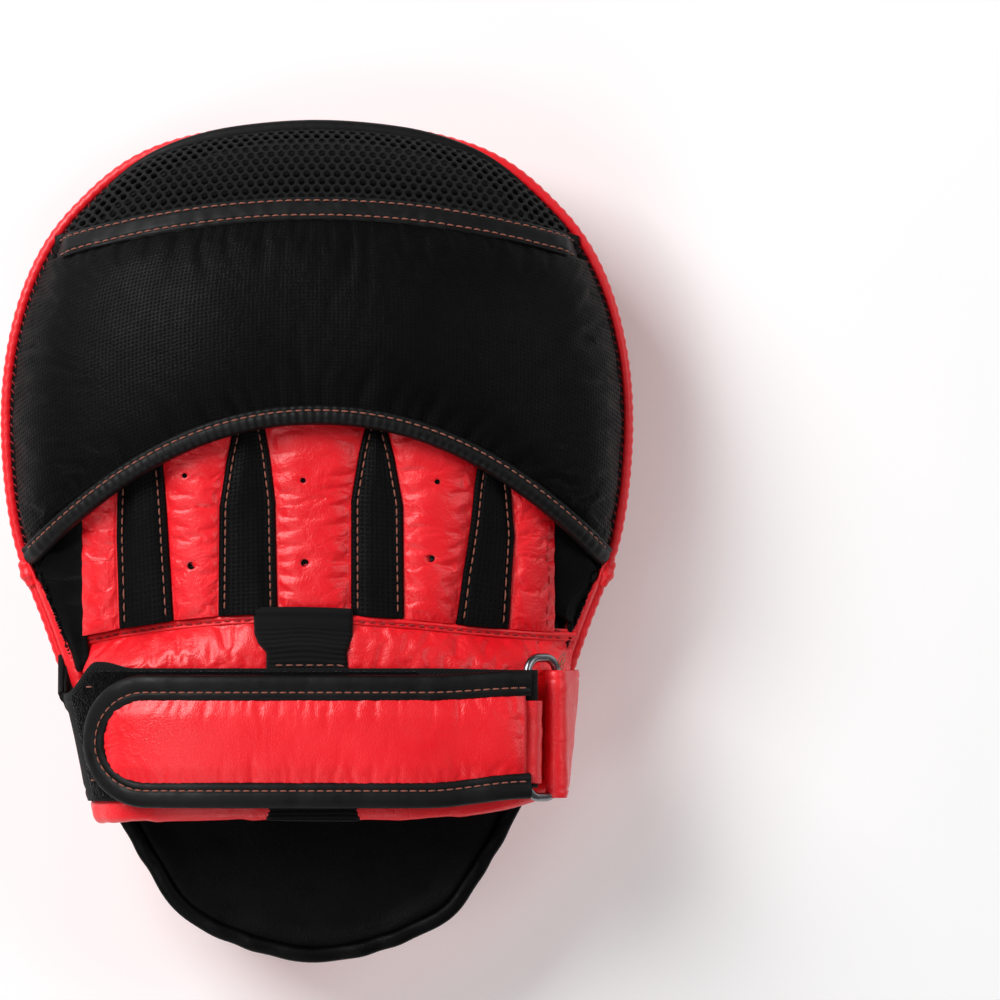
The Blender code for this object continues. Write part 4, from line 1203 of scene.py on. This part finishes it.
def glove():
    edges = [(GLOVE_LEFT,) * 3]
    for left, right in STRIP_SEAMS:
        edges += [left, right]
    edges.append((GLOVE_RIGHT,) * 3)
    reds = []
    for i in range(5):
        spill = (0.0 if i == 0 else 0.0018, 0.0 if i == 4 else 0.0018)
        share, across, x, y = glove_grid(edges[2 * i], edges[2 * i + 1], 170, 46, spill)
        puff = red_puff(x, y, share, across, 40 + 9 * i)
        # how far in from the seams under the strips; the outer edges have no strip
        under = np.minimum((x - seam_x(edges[2 * i], share)) * (1 if i else 9),
                           (seam_x(edges[2 * i + 1], share) - x) * (1 if i < 4 else 9))
        puff = np.where(under < 0.0006, np.minimum(puff, 0.0) - 0.0004,
                        puff * smooth((under + 0.0002) / 0.003))
        held = (under < 0.0008) | border(x.shape, 2)
        fill = {"sewn_down": held, "grow": 0.03, "pressure": 3, "cap": 0.0016, "bending": 0.25}
        reds.append(shell(f"palm_panel_{i + 1}", glove_z, x, y, RED_SOFT, 0.0013, puff,
                          replaced=[f"finger_panel_{i + 1}"], fill=fill))
    strips = []
    for i in range(4):
        left, right = edges[2 * i + 1], edges[2 * i + 2]
        share, across, x, y = glove_grid(left, right, 170, 36)
        width = seam_x(right, share) - seam_x(left, share)
        inward = np.minimum(across, 1 - across) * width
        groove = -0.00045 * bell(inward, 0.002, 0.0006)
        roll = -0.0009 * np.exp(-inward / 0.0005)
        crown = 0.0009 + 0.0006 * smooth((inward - 0.002) / 0.004)
        puff = crown + groove + roll + 0.00025 * wobble(x, y, 0.012, 77 + i) * smooth(inward / 0.003)
        strip = shell(f"palm_strip_{i + 1}", glove_z, x, y, PUNCHED, 0.0012, puff,
                      replaced=[f"finger_strip_{i + 1}"])
        strips.append(strip)
        cloth(strip, 0.0165, "stretched", ["glove_lining"])
        tree = tree_of(strip)
        line_share = np.linspace(0.02, 0.93, 160)
        for side, seam, shift in (("left", left, 0.002), ("right", right, -0.002)):
            line_x = seam_x(seam, line_share) + shift
            line_y = mix(GLOVE_LOW_Y, arch_y(line_x) + TUCK * 0.8, line_share)
            sewn(f"strip_stitches_{i + 1}_{side}", tree, glove_z, np.stack([line_x, line_y], 1), PALE_THREAD,
                 "red_leather", lift=0.0003)
    tree = tree_of(*reds)
    for number, (x, y, size) in enumerate(VENTS, 1):
        beside = np.array([[x, y], [x + 0.0004, y], [x + 0.0008, y]])
        points, _ = laid(tree, *on_surface(glove_z, beside))
        spokes = np.column_stack([round_tube(1.0, 24), np.zeros(24)])
        rings = [points[0] + spokes * (r * size) + [0, 0, h] for r, h in
                 ((0.0013, 0.0004), (0.00115, 0.0008), (0.0009, 0.0008), (0.0007, 0.0004),
                  (0.0002, 0.0002), (0.00001, 0.0002))]
        cup = grid_mesh(f"vent_hole_{number}", np.stack(rings), closed=True)
        thicken(piece(cup.name, cup, DARK), 0.0003)
    # a gathered seam near the right edge of the glove
    line_y = np.linspace(GLOVE_LOW_Y + 0.001, 0.005, 80)
    line_x = 0.0698 + 0.0005 * np.sin(line_y * 400)
    sewn("side_seam_stitches", tree, glove_z, np.stack([line_x, line_y], 1), RED_THREAD, "red_leather",
         lift=0.0001)
    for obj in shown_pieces():
        if obj.name.startswith(("palm_panel", "palm_strip", "strip_", "vent_hole", "side_seam")):
            bow(obj)
    side_walls()


def side_wall(side, edge, name):
    """Black leather from the glove's outer panel down to the rim."""
    share = upwards(120)
    across = sideways(44)
    start_y = mix(-0.04, float(arch_y(edge)), share)
    cuff_side = abs(cuff_edge(CUFF_LEFT if side < 0 else CUFF_RIGHT, start_y)) - 0.002
    inner = mix(cuff_side, edge - 0.0004, smooth((start_y + 0.024) / 0.002))
    outer = rim_x(start_y) - 0.0012
    x = mix(inner, outer, across)
    lift = smooth((start_y + 0.0228) / 0.012)
    y = start_y - (arch_y(edge) - arch_y(x)) * share + mix(TUCK, -0.005, across) * share * lift
    x = np.minimum(x, rim_x(y) - 0.0012)
    if side < 0:
        x, y = -x[:, ::-1], y[:, ::-1]
    folds = 0.0006 * (creases(x, y * 1.3, 0.012, 90 + side) - 0.5)
    puff = 0.001 * np.sin(np.pi * across) ** 0.7 + folds - 0.0004
    wall = shell(f"side_wall_{name}_leather", glove_z, x, y, BLACK, 0.0008, puff,
                 replaced=[f"side_wall_{name}"])


def corner_fold(side, name):
    """The piping's fold at the hood's corner."""
    fold_y = np.linspace(-0.006, -0.014, 40)
    line = np.column_stack([rim_x(fold_y, 0.0006) * side, fold_y, np.full(40, 0.04)])
    swell = (0.55 + 0.75 * np.sin(np.linspace(0, 1, 40) * np.pi) ** 0.6
             + 0.12 * np.sin(np.linspace(0, 14, 40)))[:, None]
    aside, up = frames(line, ups(40))
    swept(f"corner_fold_{name}", line, aside * swell, up * swell, round_tube(0.0019), RED_SOFT)


def rim_seam_band(side, name):
    """Red seam allowance turned in along the rim, whip stitched on its inner edge."""
    ys = np.linspace(-0.006, -0.059, 260)
    wide = np.interp(-ys, (0.006, 0.012, 0.018, 0.0305, 0.044, 0.059),
                     (0.0012, 0.0016, 0.0034, 0.0056, 0.0052, 0.004))
    taper = smooth((ys + 0.059) / 0.004)
    edge_x = rim_x(ys, 0.0012)
    slope = np.gradient(edge_x, ys)
    inward = np.stack([-np.ones_like(ys), slope], 1) / np.hypot(1, slope)[:, None]
    bumps = 0.00045 * np.abs(np.sin(ys / 0.0031 * np.pi)) * smooth((-0.006 - ys) / 0.012)
    rows = []
    for across_share in np.linspace(0, 1, 14):
        spot = np.stack([edge_x, ys], 1) + inward * ((wide + bumps) * across_share)[:, None]
        z = 0.0404 + 0.0022 * math.sin(math.pi * min(across_share * 1.05, 1.0)) ** 0.55
        z = z + bumps * across_share + 0.0008 * across_share
        rows.append(np.column_stack([spot[:, 0] * side, spot[:, 1], z * taper + 0.0405 * (1 - taper)]))
    # turned round on the right so that it faces up on both sides
    thicken(piece(f"rim_seam_band_{name}", np.stack(rows)[::-side], RED_SOFT), 0.0009)
    inner = np.column_stack([(edge_x + inward[:, 0] * wide * 0.86) * side,
                             ys + inward[:, 1] * wide * 0.86, np.full(len(ys), 0.0424)])[30:-8]
    stitches(f"whip_stitches_{name}", inner, ups(len(inner)), RED_THREAD, "red_leather",
             pitch=0.0031, slant=1.25, length=0.0026, radius=0.0004)


def side_walls():
    for side, edge, name in ((-1, -GLOVE_LEFT, "left"), (1, GLOVE_RIGHT, "right")):
        side_wall(side, edge, name)
        corner_fold(side, name)
        rim_seam_band(side, name)


# ---------------------------------------------------------------- cuff

def cuff_grid(left, right, y_low, y_high, rows, cols):
    """Places over one part of the cuff; a side given as None is the cuff's own edge."""
    y = np.linspace(y_low, y_high, rows)[:, None]
    share = sideways(cols)
    start = cuff_edge(CUFF_LEFT, y) + 0.0001 if left is None else left
    end = cuff_edge(CUFF_RIGHT, y) - 0.0001 if right is None else right
    if left is None:
        share = easing_in(share)
    elif right is None:
        share = easing_out(share)
    return mix(start, end, share), y + 0 * share


def cuff_half(side, left, right):
    """One red half of the cuff: its doubled seam, its panel and two rows of stitches."""
    x, y = cuff_grid(left, right, SEAM_LOW_Y, CUFF_TOP_Y + 0.0006, 34, 130)
    up = (y - SEAM_LOW_Y) / (CUFF_TOP_Y + 0.0006 - SEAM_LOW_Y)
    roll = 0.0012 * np.sin(np.pi * np.clip(up, 0.02, 0.98)) ** 0.55
    rows = -0.0005 * sum(bell(y, line_y, 0.0004) for line_y in CUFF_ROWS)
    seam = shell(f"cuff_seam_{side}_leather", cuff_z, x, y, RED_SOFT, 0.0014,
                 roll + rows + 0.0003 * wobble(x, y * 0.3, 0.0034, 51), replaced=[f"cuff_seam_{side}"])
    if left is not None:
        left = np.interp(np.linspace(CUFF_HEM_Y, SEAM_LOW_Y, 100)[:, None], (-0.075, -0.034),
                         (0.0118, 0.0078))
    else:
        right = -0.0142
    x, y = cuff_grid(left, right, CUFF_HEM_Y - 0.001, SEAM_LOW_Y + 0.0006, 100, 110)
    folds = 0.0009 * (creases(x * 0.7, y, 0.019, 60) - 0.5) + 0.0003 * wobble(x, y, 0.004, 61)
    panel = shell(f"cuff_panel_{side}_leather", cuff_z, x, y, RED_SOFT, 0.0014,
                  folds * 0.5 * smooth((y - CUFF_HEM_Y) / 0.006) - 0.0002,
                  replaced=[f"cuff_panel_{side}"],
                  fill={"sewn_down": border(x.shape, 2) | (y < -0.04), "grow": 0.03, "pressure": 2,
                        "cap": 0.0011, "bending": 0.25})
    tree = tree_of(seam, panel)
    bow(seam)
    bow(panel)
    cloth(panel, 0.053, "stretched", ["cuff_lining"])
    for number, line_y in enumerate(CUFF_ROWS, 1):
        start = -0.07 if side == "left" else ELASTIC_RIGHT + 0.001
        end = ELASTIC_LEFT - 0.001 if side == "left" else 0.0745
        line_x = np.linspace(start, end, 120)
        wavy = line_y + 0.0002 * np.sin(line_x * 900)
        bow(sewn(f"cuff_stitches_{side}_{number}", tree, cuff_z, np.stack([line_x, wavy], 1),
                 RED_THREAD, "red_leather", lift=0.0002, pitch=0.003, length=0.0022))


def cuff_hem(side):
    """Rolled hem at the wrist's mouth."""
    middle = (CUFF_HEM_Y + CUFF_MOUTH_Y) / 2
    start = float(cuff_edge(CUFF_LEFT, middle)) if side == "left" else 0.012
    end = float(cuff_edge(CUFF_RIGHT, middle)) if side == "right" else -0.014
    share = (easing_in if side == "left" else easing_out)(np.linspace(0, 1, 200))
    line_x = mix(start, end, share)
    spots, up = on_surface(cuff_z, np.stack([line_x, np.full(200, middle)], 1))
    spots, up = spaced(spots, up, 260)
    across, up = frames(spots, unit(up))
    thick = 1.0 + 0.1 * wobble(np.arange(260) / 260 * 0.09, np.zeros(260), 0.006, 66)
    lump = 1.0 + 0.35 * bell(np.arange(260), 14 if side == "left" else 246, 12.0)
    bow(swept(f"cuff_hem_{side}_roll", spots - up * 0.001, across * (thick * lump ** 0.4)[:, None],
              up * (thick * lump)[:, None], rounded(0.0038, 0.0023, 22, 2.3), RED_SOFT, MITT,
              [f"cuff_hem_{side}"]))


def elastic():
    """Ribbed elastic over the gap between the two halves."""
    y = np.linspace(CUFF_MOUTH_Y - 0.0004, CUFF_TOP_Y + 0.0018, 420)[:, None]
    edges = [np.interp(y, (-0.078, -0.035, -0.0325, -0.0295), values)
             for values in ((-0.0154, -0.0154, -0.0178, -0.019), (0.013, 0.009, 0.0098, 0.0108))]
    x = mix(edges[0], edges[1], sideways(70))
    beat = (y + 0.0006 * wobble(x, y, 0.012, 71)) / 0.00135
    ribs = 0.00016 * np.sin(beat * 2 * np.pi) * smooth((-0.0262 - y) / 0.003)
    bulge = 0.0012 + 0.0007 * np.sin(np.pi * np.clip((x - edges[0]) / (edges[1] - edges[0]), 0, 1)) ** 0.5
    fold = 0.0007 * bell(y, -0.0228, 0.0012) + 0.001 * smooth((y + 0.03) / 0.004)
    fold = fold + 0.0004 * bell(y, -0.0335, 0.0012)
    edge = -0.0008 * (bell(x, edges[0], 0.0006) + bell(x, edges[1], 0.0006))
    ribbed = shell("elastic_ribs", cuff_z, x, y, RIBBED, 0.0006, ribs + bulge + fold + edge,
                   replaced=["elastic_insert"])
    bow(ribbed)
    line_x = np.r_[np.linspace(-0.013, 0.008, 40), np.full(10, 0.0086)]
    line_y = np.r_[np.full(40, -0.038), np.linspace(-0.0384, -0.042, 10)]
    sewn("elastic_stitches", tree_of(ribbed), cuff_z, np.stack([line_x, line_y], 1), PALE_THREAD,
         "red_leather", lift=0.0003)


def cuff():
    for side, left, right in (("left", None, ELASTIC_LEFT + 0.0006), ("right", ELASTIC_RIGHT - 0.0006, None)):
        cuff_half(side, left, right)
        cuff_hem(side)
    elastic()


# ---------------------------------------------------------------- strap

def path_rows(ys, path_of, count):
    """Rows of a strap: for each y a path of (x, z) points, spaced evenly."""
    rows = []
    for y in ys:
        path = resample(path_of(y), count)
        rows.append(np.column_stack([path[:, 0], np.full(count, y), path[:, 1]]))
    return np.stack(rows)


def squeezed(p):
    """The strap narrowed towards the ring."""
    share = np.linspace(0, 1, p.shape[0])[:, None]
    near = narrowing(p[:, :, 0])
    p[:, :, 1] = mix(p[:, :, 1], mix(TURN_Y[1], TURN_Y[0], share), near)
    return p


def strap_base():
    def run(y):
        left = float(np.interp(y, (-0.0795, -0.0464, -0.035), (-0.0699, -0.0753, -0.0811)))
        xs = mix(left, 0.0615, easing_in(np.linspace(0, 1, 160)))
        wall = -float(rim_x(y)) - 0.0016
        # up the gusset's wall, then leaning out to the strap's left end
        up = [(mix(wall, left, share), z) for share, z in
              ((0.0, 0.022), (0.0, 0.026), (0.0, 0.03), (0.16, 0.033), (0.5, 0.0362), (0.84, 0.0388),
               (1.0, 0.0408))]
        return np.array(up + list(zip(xs[1:], strap_z(xs[1:], y, BASE_OFFSET))))

    ys = np.linspace(STRAP_BASE_Y[1], STRAP_BASE_Y[0] - 0.0004, 46)
    p = squeezed(path_rows(ys, run, 260))
    share = upwards(46)
    upper = mix(-0.0468, -0.037, smooth((p[:, :, 0] + 0.077) / 0.01))
    upper = np.where(p[:, :, 2] > 0.0408, upper, -0.0352)
    upper = mix(upper, STRAP_BASE_Y[0] - 0.0004, smooth((p[:, :, 0] + 0.066) / 0.01))
    near_left = p[:, :, 0] < -0.056
    p[:, :, 1] = np.where(near_left, mix(STRAP_BASE_Y[1], upper, share), p[:, :, 1])
    edge = np.minimum(np.arange(46), np.arange(46)[::-1])[:, None]
    hem = 0.0005 * smooth(edge / 3.0) - 0.0004 * bell(edge, 4, 1.1)
    p = p + normals_of(p) * (hem + 0.0003 * wobble(p[:, :, 0], p[:, :, 1], 0.009, 81))[..., None]
    base = thicken(piece("strap_under_run", p, WEBBING, MITT, ["strap_base"]), 0.0016)
    cloth(base, 0.042, "stretched", ["cuff_panel_left", "cuff_panel_right"])

    def over(y):
        xs = mix(float(strap_left(y)) - 0.0004, 0.03, easing_in(np.linspace(0.06, 1, 160)))
        return np.column_stack([xs, strap_z(xs, y, PILE_OFFSET)])

    ys = np.linspace(STRAP_BASE_Y[1] + 0.0012, STRAP_BASE_Y[0] - 0.0014, 130)
    p = path_rows(ys, over, 420)
    upper = mix(-0.0478, STRAP_BASE_Y[0] - 0.0014, smooth((p[:, :, 0] + 0.0765) / 0.01))
    p[:, :, 1] = mix(ys[0], upper, upwards(130))
    rng = np.random.default_rng(8)
    fuzz = 0.00012 * rng.uniform(-1, 1, p.shape[:2]) + 0.00015 * wobble(p[:, :, 0], p[:, :, 1], 0.0016, 82)
    p = p + normals_of(p) * fuzz[..., None]
    patch = thicken(piece("loop_pile_patch", p, PILE, MITT, ["strap_loop_pile"]), 0.0005)

    tree = tree_of(base, patch)
    marks = (((-0.0708, -0.0446), (-0.0674, -0.0446)), ((-0.0695, -0.0732), (-0.067, -0.073)))
    for number, (start, end) in enumerate(marks, 1):
        line = np.linspace(start, end, 12)
        height = lambda x, y: strap_z(x, y, PILE_OFFSET)
        sewn(f"base_stitches_{number}", tree, height, line, PALE_THREAD, "black_textile", lift=0.0003)


def tip_half(x, inset):
    """How much the flap's rounded tip takes off each side at x."""
    corner = FLAP_CORNER - inset
    reach = FLAP_TIP_X + inset + corner - x
    rounding = corner - np.sqrt(np.maximum(corner**2 - np.maximum(reach, 0) ** 2, 0.0))
    return np.where(reach <= 0.0, 0.0, rounding)


def flap_xs(inset, end_x, tip, count):
    """Places along the flap, closer together round its tip."""
    start = FLAP_TIP_X + inset + 0.00005
    corner_end = start + FLAP_CORNER - inset
    return np.r_[mix(start, corner_end, easing_in(np.linspace(0, 1, tip)[:-1])),
                 np.linspace(corner_end, end_x, count)]


def flap_sheet(name, inset, offset, end_x, rows, surface, thickness, puff_of, node):
    x = flap_xs(inset, end_x, 26, 140)[None]
    trim = inset + tip_half(x, inset)
    share = upwards(rows)
    y = mix(flap_low(x) + trim, flap_high(x) - trim, share)
    x = x + 0 * share
    fill = {"sewn_down": border(x.shape, 2), "grow": 0.02, "pressure": 2, "cap": 0.0008}
    return shell(name, lambda a, b: flap_z(a, b, offset), x, y, surface, thickness, puff_of(x, y), FLAP,
                 [node], fill)


def outline(edge, end_x):
    """The flap's outline, inset by edge, open at the ring."""
    xs = flap_xs(edge, end_x, 40, 160)
    low = np.stack([xs, flap_low(xs) + edge + tip_half(xs, edge)], 1)[::-1]
    high = np.stack([xs, flap_high(xs) - edge - tip_half(xs, edge)], 1)
    return np.vstack([low, high])


def flap_face():
    """The red inset, with creases that fan out from the rounded tip."""
    def face_puff(x, y):
        middle = (flap_low(x) + flap_high(x)) / 2
        inward = np.minimum(y - flap_low(x), flap_high(x) - y) - FLAP_EDGE + 0.0006
        inward = np.minimum(inward, x - FLAP_TIP_X - FLAP_EDGE + 0.0006)
        crown = 0.0008 * smooth(inward / 0.006)
        angle = np.arctan2(y - middle, x + 0.056)
        tip = smooth((-0.043 - x) / 0.02)
        far = np.hypot(x + 0.056, y - middle)
        fan = wobble(angle * 0.012, far * 0.1, 0.0011, 103)
        fan = fan + 0.6 * wobble(angle * 0.02, far * 0.2, 0.0009, 107)
        radial = 0.00016 * fan * tip * smooth(far / 0.004)
        soft = 0.0003 * (creases(x * 0.9, y, 0.022, 101) - 0.5) + 0.00005 * wobble(x, y, 0.0045, 102)
        return crown + radial + soft

    face = flap_sheet("flap_red_inset", FLAP_EDGE - 0.001, FACE_OFFSET, 0.0632, 80, RED,
                      0.0013, face_puff, "flap_face")


def flap_backing():
    """The backing runs on over the ring's inner bar and back under itself."""
    def run(y):
        xs = flap_xs(0.004, 0.0585, 20, 120)
        over = list(zip(xs, flap_z(xs, y, CORE_OFFSET + 0.0002)))
        return np.array(over + arc(INNER_BAR, FOLD_RADIUS, 108, -165, 40))

    p = path_rows(np.full(40, -0.06), run, 320)
    for k, share in enumerate(np.linspace(0, 1, 40)):
        x = p[k, :, 0]
        trim = np.where(x < 0.03, 0.003 + tip_half(np.minimum(x, 0.0), 0.003), 0.0012)
        tight = smooth((x - 0.05) / 0.01)
        low, high = mix(flap_low(x) + trim, TURN_Y[1], tight), mix(flap_high(x) - trim, TURN_Y[0], tight)
        p[k, :, 1] = mix(low, high, share)
    surface = flap_z(p[:, :, 0], p[:, :, 1], CORE_OFFSET + 0.0002)
    p[:, :, 2] = np.where((p[:, :, 0] < 0.057), surface, p[:, :, 2])
    backing = thicken(piece("flap_backing", p, WEBBING, FLAP, ["flap_core"]), 0.0014)
    cloth(backing, 0.037, "folded", ["strap_ring"])


def flap_turn():
    """The red face turned over the bar."""
    def turned(y):
        spots = [(x, float(flap_z(x, y, FACE_OFFSET)) + 0.0002) for x in np.linspace(0.056, 0.0605, 8)]
        return np.array(spots + arc(INNER_BAR, FOLD_RADIUS + 0.0013, 96, -95, 40))

    ys = np.linspace(-0.0738, -0.0488, 44)
    p = path_rows(ys, turned, 90)
    p = p + normals_of(p) * (0.00025 * wobble(p[:, :, 0], p[:, :, 1], 0.0035, 104))[..., None]
    thicken(piece("flap_red_turn", p, RED, FLAP), 0.0011)


def flap_binding():
    """Folded edge binding, stitched down along its inner side."""
    height = lambda x, y: flap_z(x, y, BINDING_OFFSET)
    spots, up = on_surface(height, outline(FLAP_EDGE / 2, 0.0648))
    spots, up = spaced(spots, up, 900)
    across, up = frames(spots, unit(up))
    sign = 1.0 if np.dot(across[450], (-1, 0, 0)) > 0 else -1.0
    # across * sign points out of the flap: a fold outside, stitched down flat inside
    half = FLAP_EDGE / 2
    section = ((half, -0.001), (half * 0.96, 0.0008), (half * 0.55, 0.0016), (0.0, 0.0016),
               (-half * 0.28, 0.0012), (-half * 0.37, 0.0009), (-half * 0.5, 0.0012), (-half * 0.85, 0.001),
               (-half * 1.02, 0.0003), (-half, -0.0008), (-half * 0.3, -0.0023), (half * 0.6, -0.0024))
    section = resample(catmull(section, 4), 48, closed=True)
    section[:, 0] *= sign
    if sign < 0:
        section = section[::-1]
    walked = np.arange(900) / 900
    puff = 0.00022 * wobble(walked * 0.33, 0 * walked, 0.0055, 105)
    binding = swept("flap_edge_binding", spots + up * (puff - 0.0008)[:, None], across, up, section, TAPE,
                    FLAP, ["flap_binding"])
    line = spots + across * (-sign * 0.0014)
    points, normals = laid(tree_of(binding), line, up, 0.0002, 0.004)
    stitches("flap_stitches", points[4:-4], normals[4:-4], PALE_THREAD, "black_leather", FLAP)


def flap_hooks():
    """The patch of hooks on the flap's underside."""
    hook_x = np.linspace(-0.046, -0.006, 150)[None]
    share = upwards(90)
    hook_y = mix(flap_low(hook_x) + 0.01, flap_high(hook_x) - 0.01, share)
    rng = np.random.default_rng(12)
    hooks = shell("flap_hooks", lambda a, b: flap_z(a, b, HOOK_OFFSET), hook_x + 0 * share, hook_y, PILE,
                  0.0005, 0.0001 * rng.uniform(-1, 1, (90, 150)), FLAP, ["flap_hook_patch"])


def flap():
    flap_face()
    flap_backing()
    flap_turn()
    flap_binding()
    flap_hooks()


def ring_wire():
    """The metal ring: a rounded rectangle of wire that leans from its inner to its outer bar."""
    inner = np.array([INNER_BAR[0], 0.0, INNER_BAR[1]])
    outer = np.array([OUTER_BAR[0], 0.0, OUTER_BAR[1]])
    across = (outer - inner) / np.linalg.norm(outer - inner)
    width = np.linalg.norm(outer - inner)
    near, far = RING_CORNER, width - RING_CORNER
    low, high = RING_Y[1] + RING_CORNER, RING_Y[0] - RING_CORNER
    corners = ((near, low, 180), (far, low, 270), (far, high, 0), (near, high, 90))
    points = []
    for along, y, start in corners:
        for angle in np.radians(np.linspace(start, start + 90, 12)):
            spot = inner + across * (along + RING_CORNER * math.cos(angle))
            points.append((spot[0], y + RING_CORNER * math.sin(angle), spot[2]))
    points = resample(points, 420, closed=True)
    up = np.cross(across, (0.0, 1.0, 0.0))
    up = np.tile(up / np.linalg.norm(up), (420, 1))
    side = np.cross(up, unit(np.roll(points, -1, 0) - np.roll(points, 1, 0)))
    swept("ring_wire", points, side, up, round_tube(WIRE, 18), STEEL, RING, ["strap_ring"],
          closed=True)


def ring_tab():
    """The red tab that runs round the ring's outer bar and down to the gusset."""
    def run(y):
        spots = arc(OUTER_BAR, FOLD_RADIUS, -115, -335, 44)
        wall = float(rim_x(y)) + 0.0016
        down = np.interp(y, (-0.079, -0.04), (0.0764, 0.0797))
        spots += [(mix(0.0757, down, 0.75), 0.053)]
        spots += [(mix(down, wall, share), z) for share, z in
                  ((0.0, 0.048), (0.0, 0.044), (0.08, 0.041), (0.42, 0.0372), (0.8, 0.0334), (1.0, 0.03),
                   (1.0, 0.023))]
        return np.array(spots)

    ys = np.linspace(FLAP_RING_Y[1], FLAP_RING_Y[0], 60)
    p = path_rows(ys, run, 130)
    share = upwards(60)
    edge = np.minimum(share, 1 - share) * 0.035
    puff = 0.0004 * smooth(edge / 0.002) - 0.0004 * bell(edge, 0.0024, 0.0005)
    puff = puff + 0.0004 * (creases(p[:, :, 2], p[:, :, 1], 0.01, 110) - 0.5)
    p = p + normals_of(p) * puff[..., None]
    tab = thicken(piece("tab_leather", p, RED_SOFT, MITT, ["ring_tab"]), 0.0014)
    cloth(tab, 0.0388, "folded", ["strap_ring"])


def loose_threads():
    """Frayed ends of thread where the tab goes down."""
    for number, (y, lean) in enumerate(((-0.0352, 0.5), (-0.0362, -0.2), (-0.037, 0.9), (-0.0345, 0.1)), 1):
        start = np.array([0.0735, y - 0.0034, 0.06])
        spots = [start + np.array([0.0016 * t + 0.0009 * math.sin(3 * t + number - 1),
                                   0.003 * t + 0.0006 * lean * t * t, -0.0008 * t * t])
                 for t in np.linspace(0, 1.2, 10)]
        spots = np.array(spots)
        across, up = frames(spots, np.tile([0.0, 0.2, 1.0], (10, 1)))
        swept(f"loose_thread_{number}", spots, across, up, round_tube(0.00016, 6), PALE_THREAD)


def ring():
    ring_wire()
    ring_tab()
    loose_threads()


# ---------------------------------------------------------------- inside layers, stage and camera

def inside():
    """Layers that only show through the mitt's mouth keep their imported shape."""
    for node, surface in (("strike_foam", FOAM), ("shock_gel_sheet", GEL), ("backing_foam", FOAM),
                          ("glove_lining", LINING), ("cuff_lining", LINING), ("palm_grip_pad", LINING)):
        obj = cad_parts[node]
        for slot in obj.material_slots:
            slot.material = surface


def stage():
    mesh = bpy.data.meshes.new("floor")
    mesh.from_pydata([(-3, -3, 0), (3, -3, 0), (3, 3, 0), (-3, 3, 0)], [], [(0, 1, 2, 3)])
    floor = bpy.data.objects.new("floor", mesh)
    floor.location.z = -0.002
    bpy.context.scene.collection.objects.link(floor)
    g = Graph("pale_floor", roughness=0.75, specular=0.2)
    g.put(g.shader, "Emission Color", (1.0, 1.0, 1.0, 1.0))
    g.put(g.shader, "Emission Strength", 0.16)
    mesh.materials.append(g.finish(g.colours(g.noise(9, 3.0), (0.87, 0.87, 0.87), (0.9, 0.9, 0.9))))

    world = bpy.data.worlds.new("studio")
    world.use_nodes = True
    world.node_tree.nodes["Background"].inputs["Color"].default_value = (1.0, 1.0, 1.0, 1.0)
    world.node_tree.nodes["Background"].inputs["Strength"].default_value = 0.1
    bpy.context.scene.world = world
    for name, place, size, power in LAMPS:
        lamp = bpy.data.lights.new(name, "AREA")
        lamp.energy, lamp.size = power, size
        obj = bpy.data.objects.new(name, lamp)
        obj.location = place
        obj.rotation_euler = (Vector((0, 0, 0.04)) - Vector(place)).to_track_quat("-Z", "Y").to_euler()
        bpy.context.scene.collection.objects.link(obj)

    camera = bpy.data.cameras.new("camera")
    camera.lens = 36.0 * CAMERA_FAR / CAMERA_WIDE
    camera.sensor_width = 36.0
    obj = bpy.data.objects.new("camera", camera)
    target = Vector(CAMERA_AIM)
    obj.location = (0.0, 0.0, CAMERA_FAR + target.z)
    back = (obj.location - target).normalized()
    right = Vector((0.0, 1.0, 0.0)).cross(back).normalized()
    obj.rotation_euler = Matrix((right, back.cross(right), back)).transposed().to_euler()
    bpy.context.scene.collection.objects.link(obj)
    bpy.context.scene.camera = obj
    bpy.context.scene.view_settings.view_transform = "Standard"


def write_sizes():
    """Only brings the view layer up to date; no box of the CAD or visual model is worked out."""
    bpy.context.view_layer.update()


face_cover()
pipings()
gusset()
back_panel()
eyelets()
hood()
glove()
cuff()
strap_base()
flap()
ring()
inside()
stage()
write_sizes()
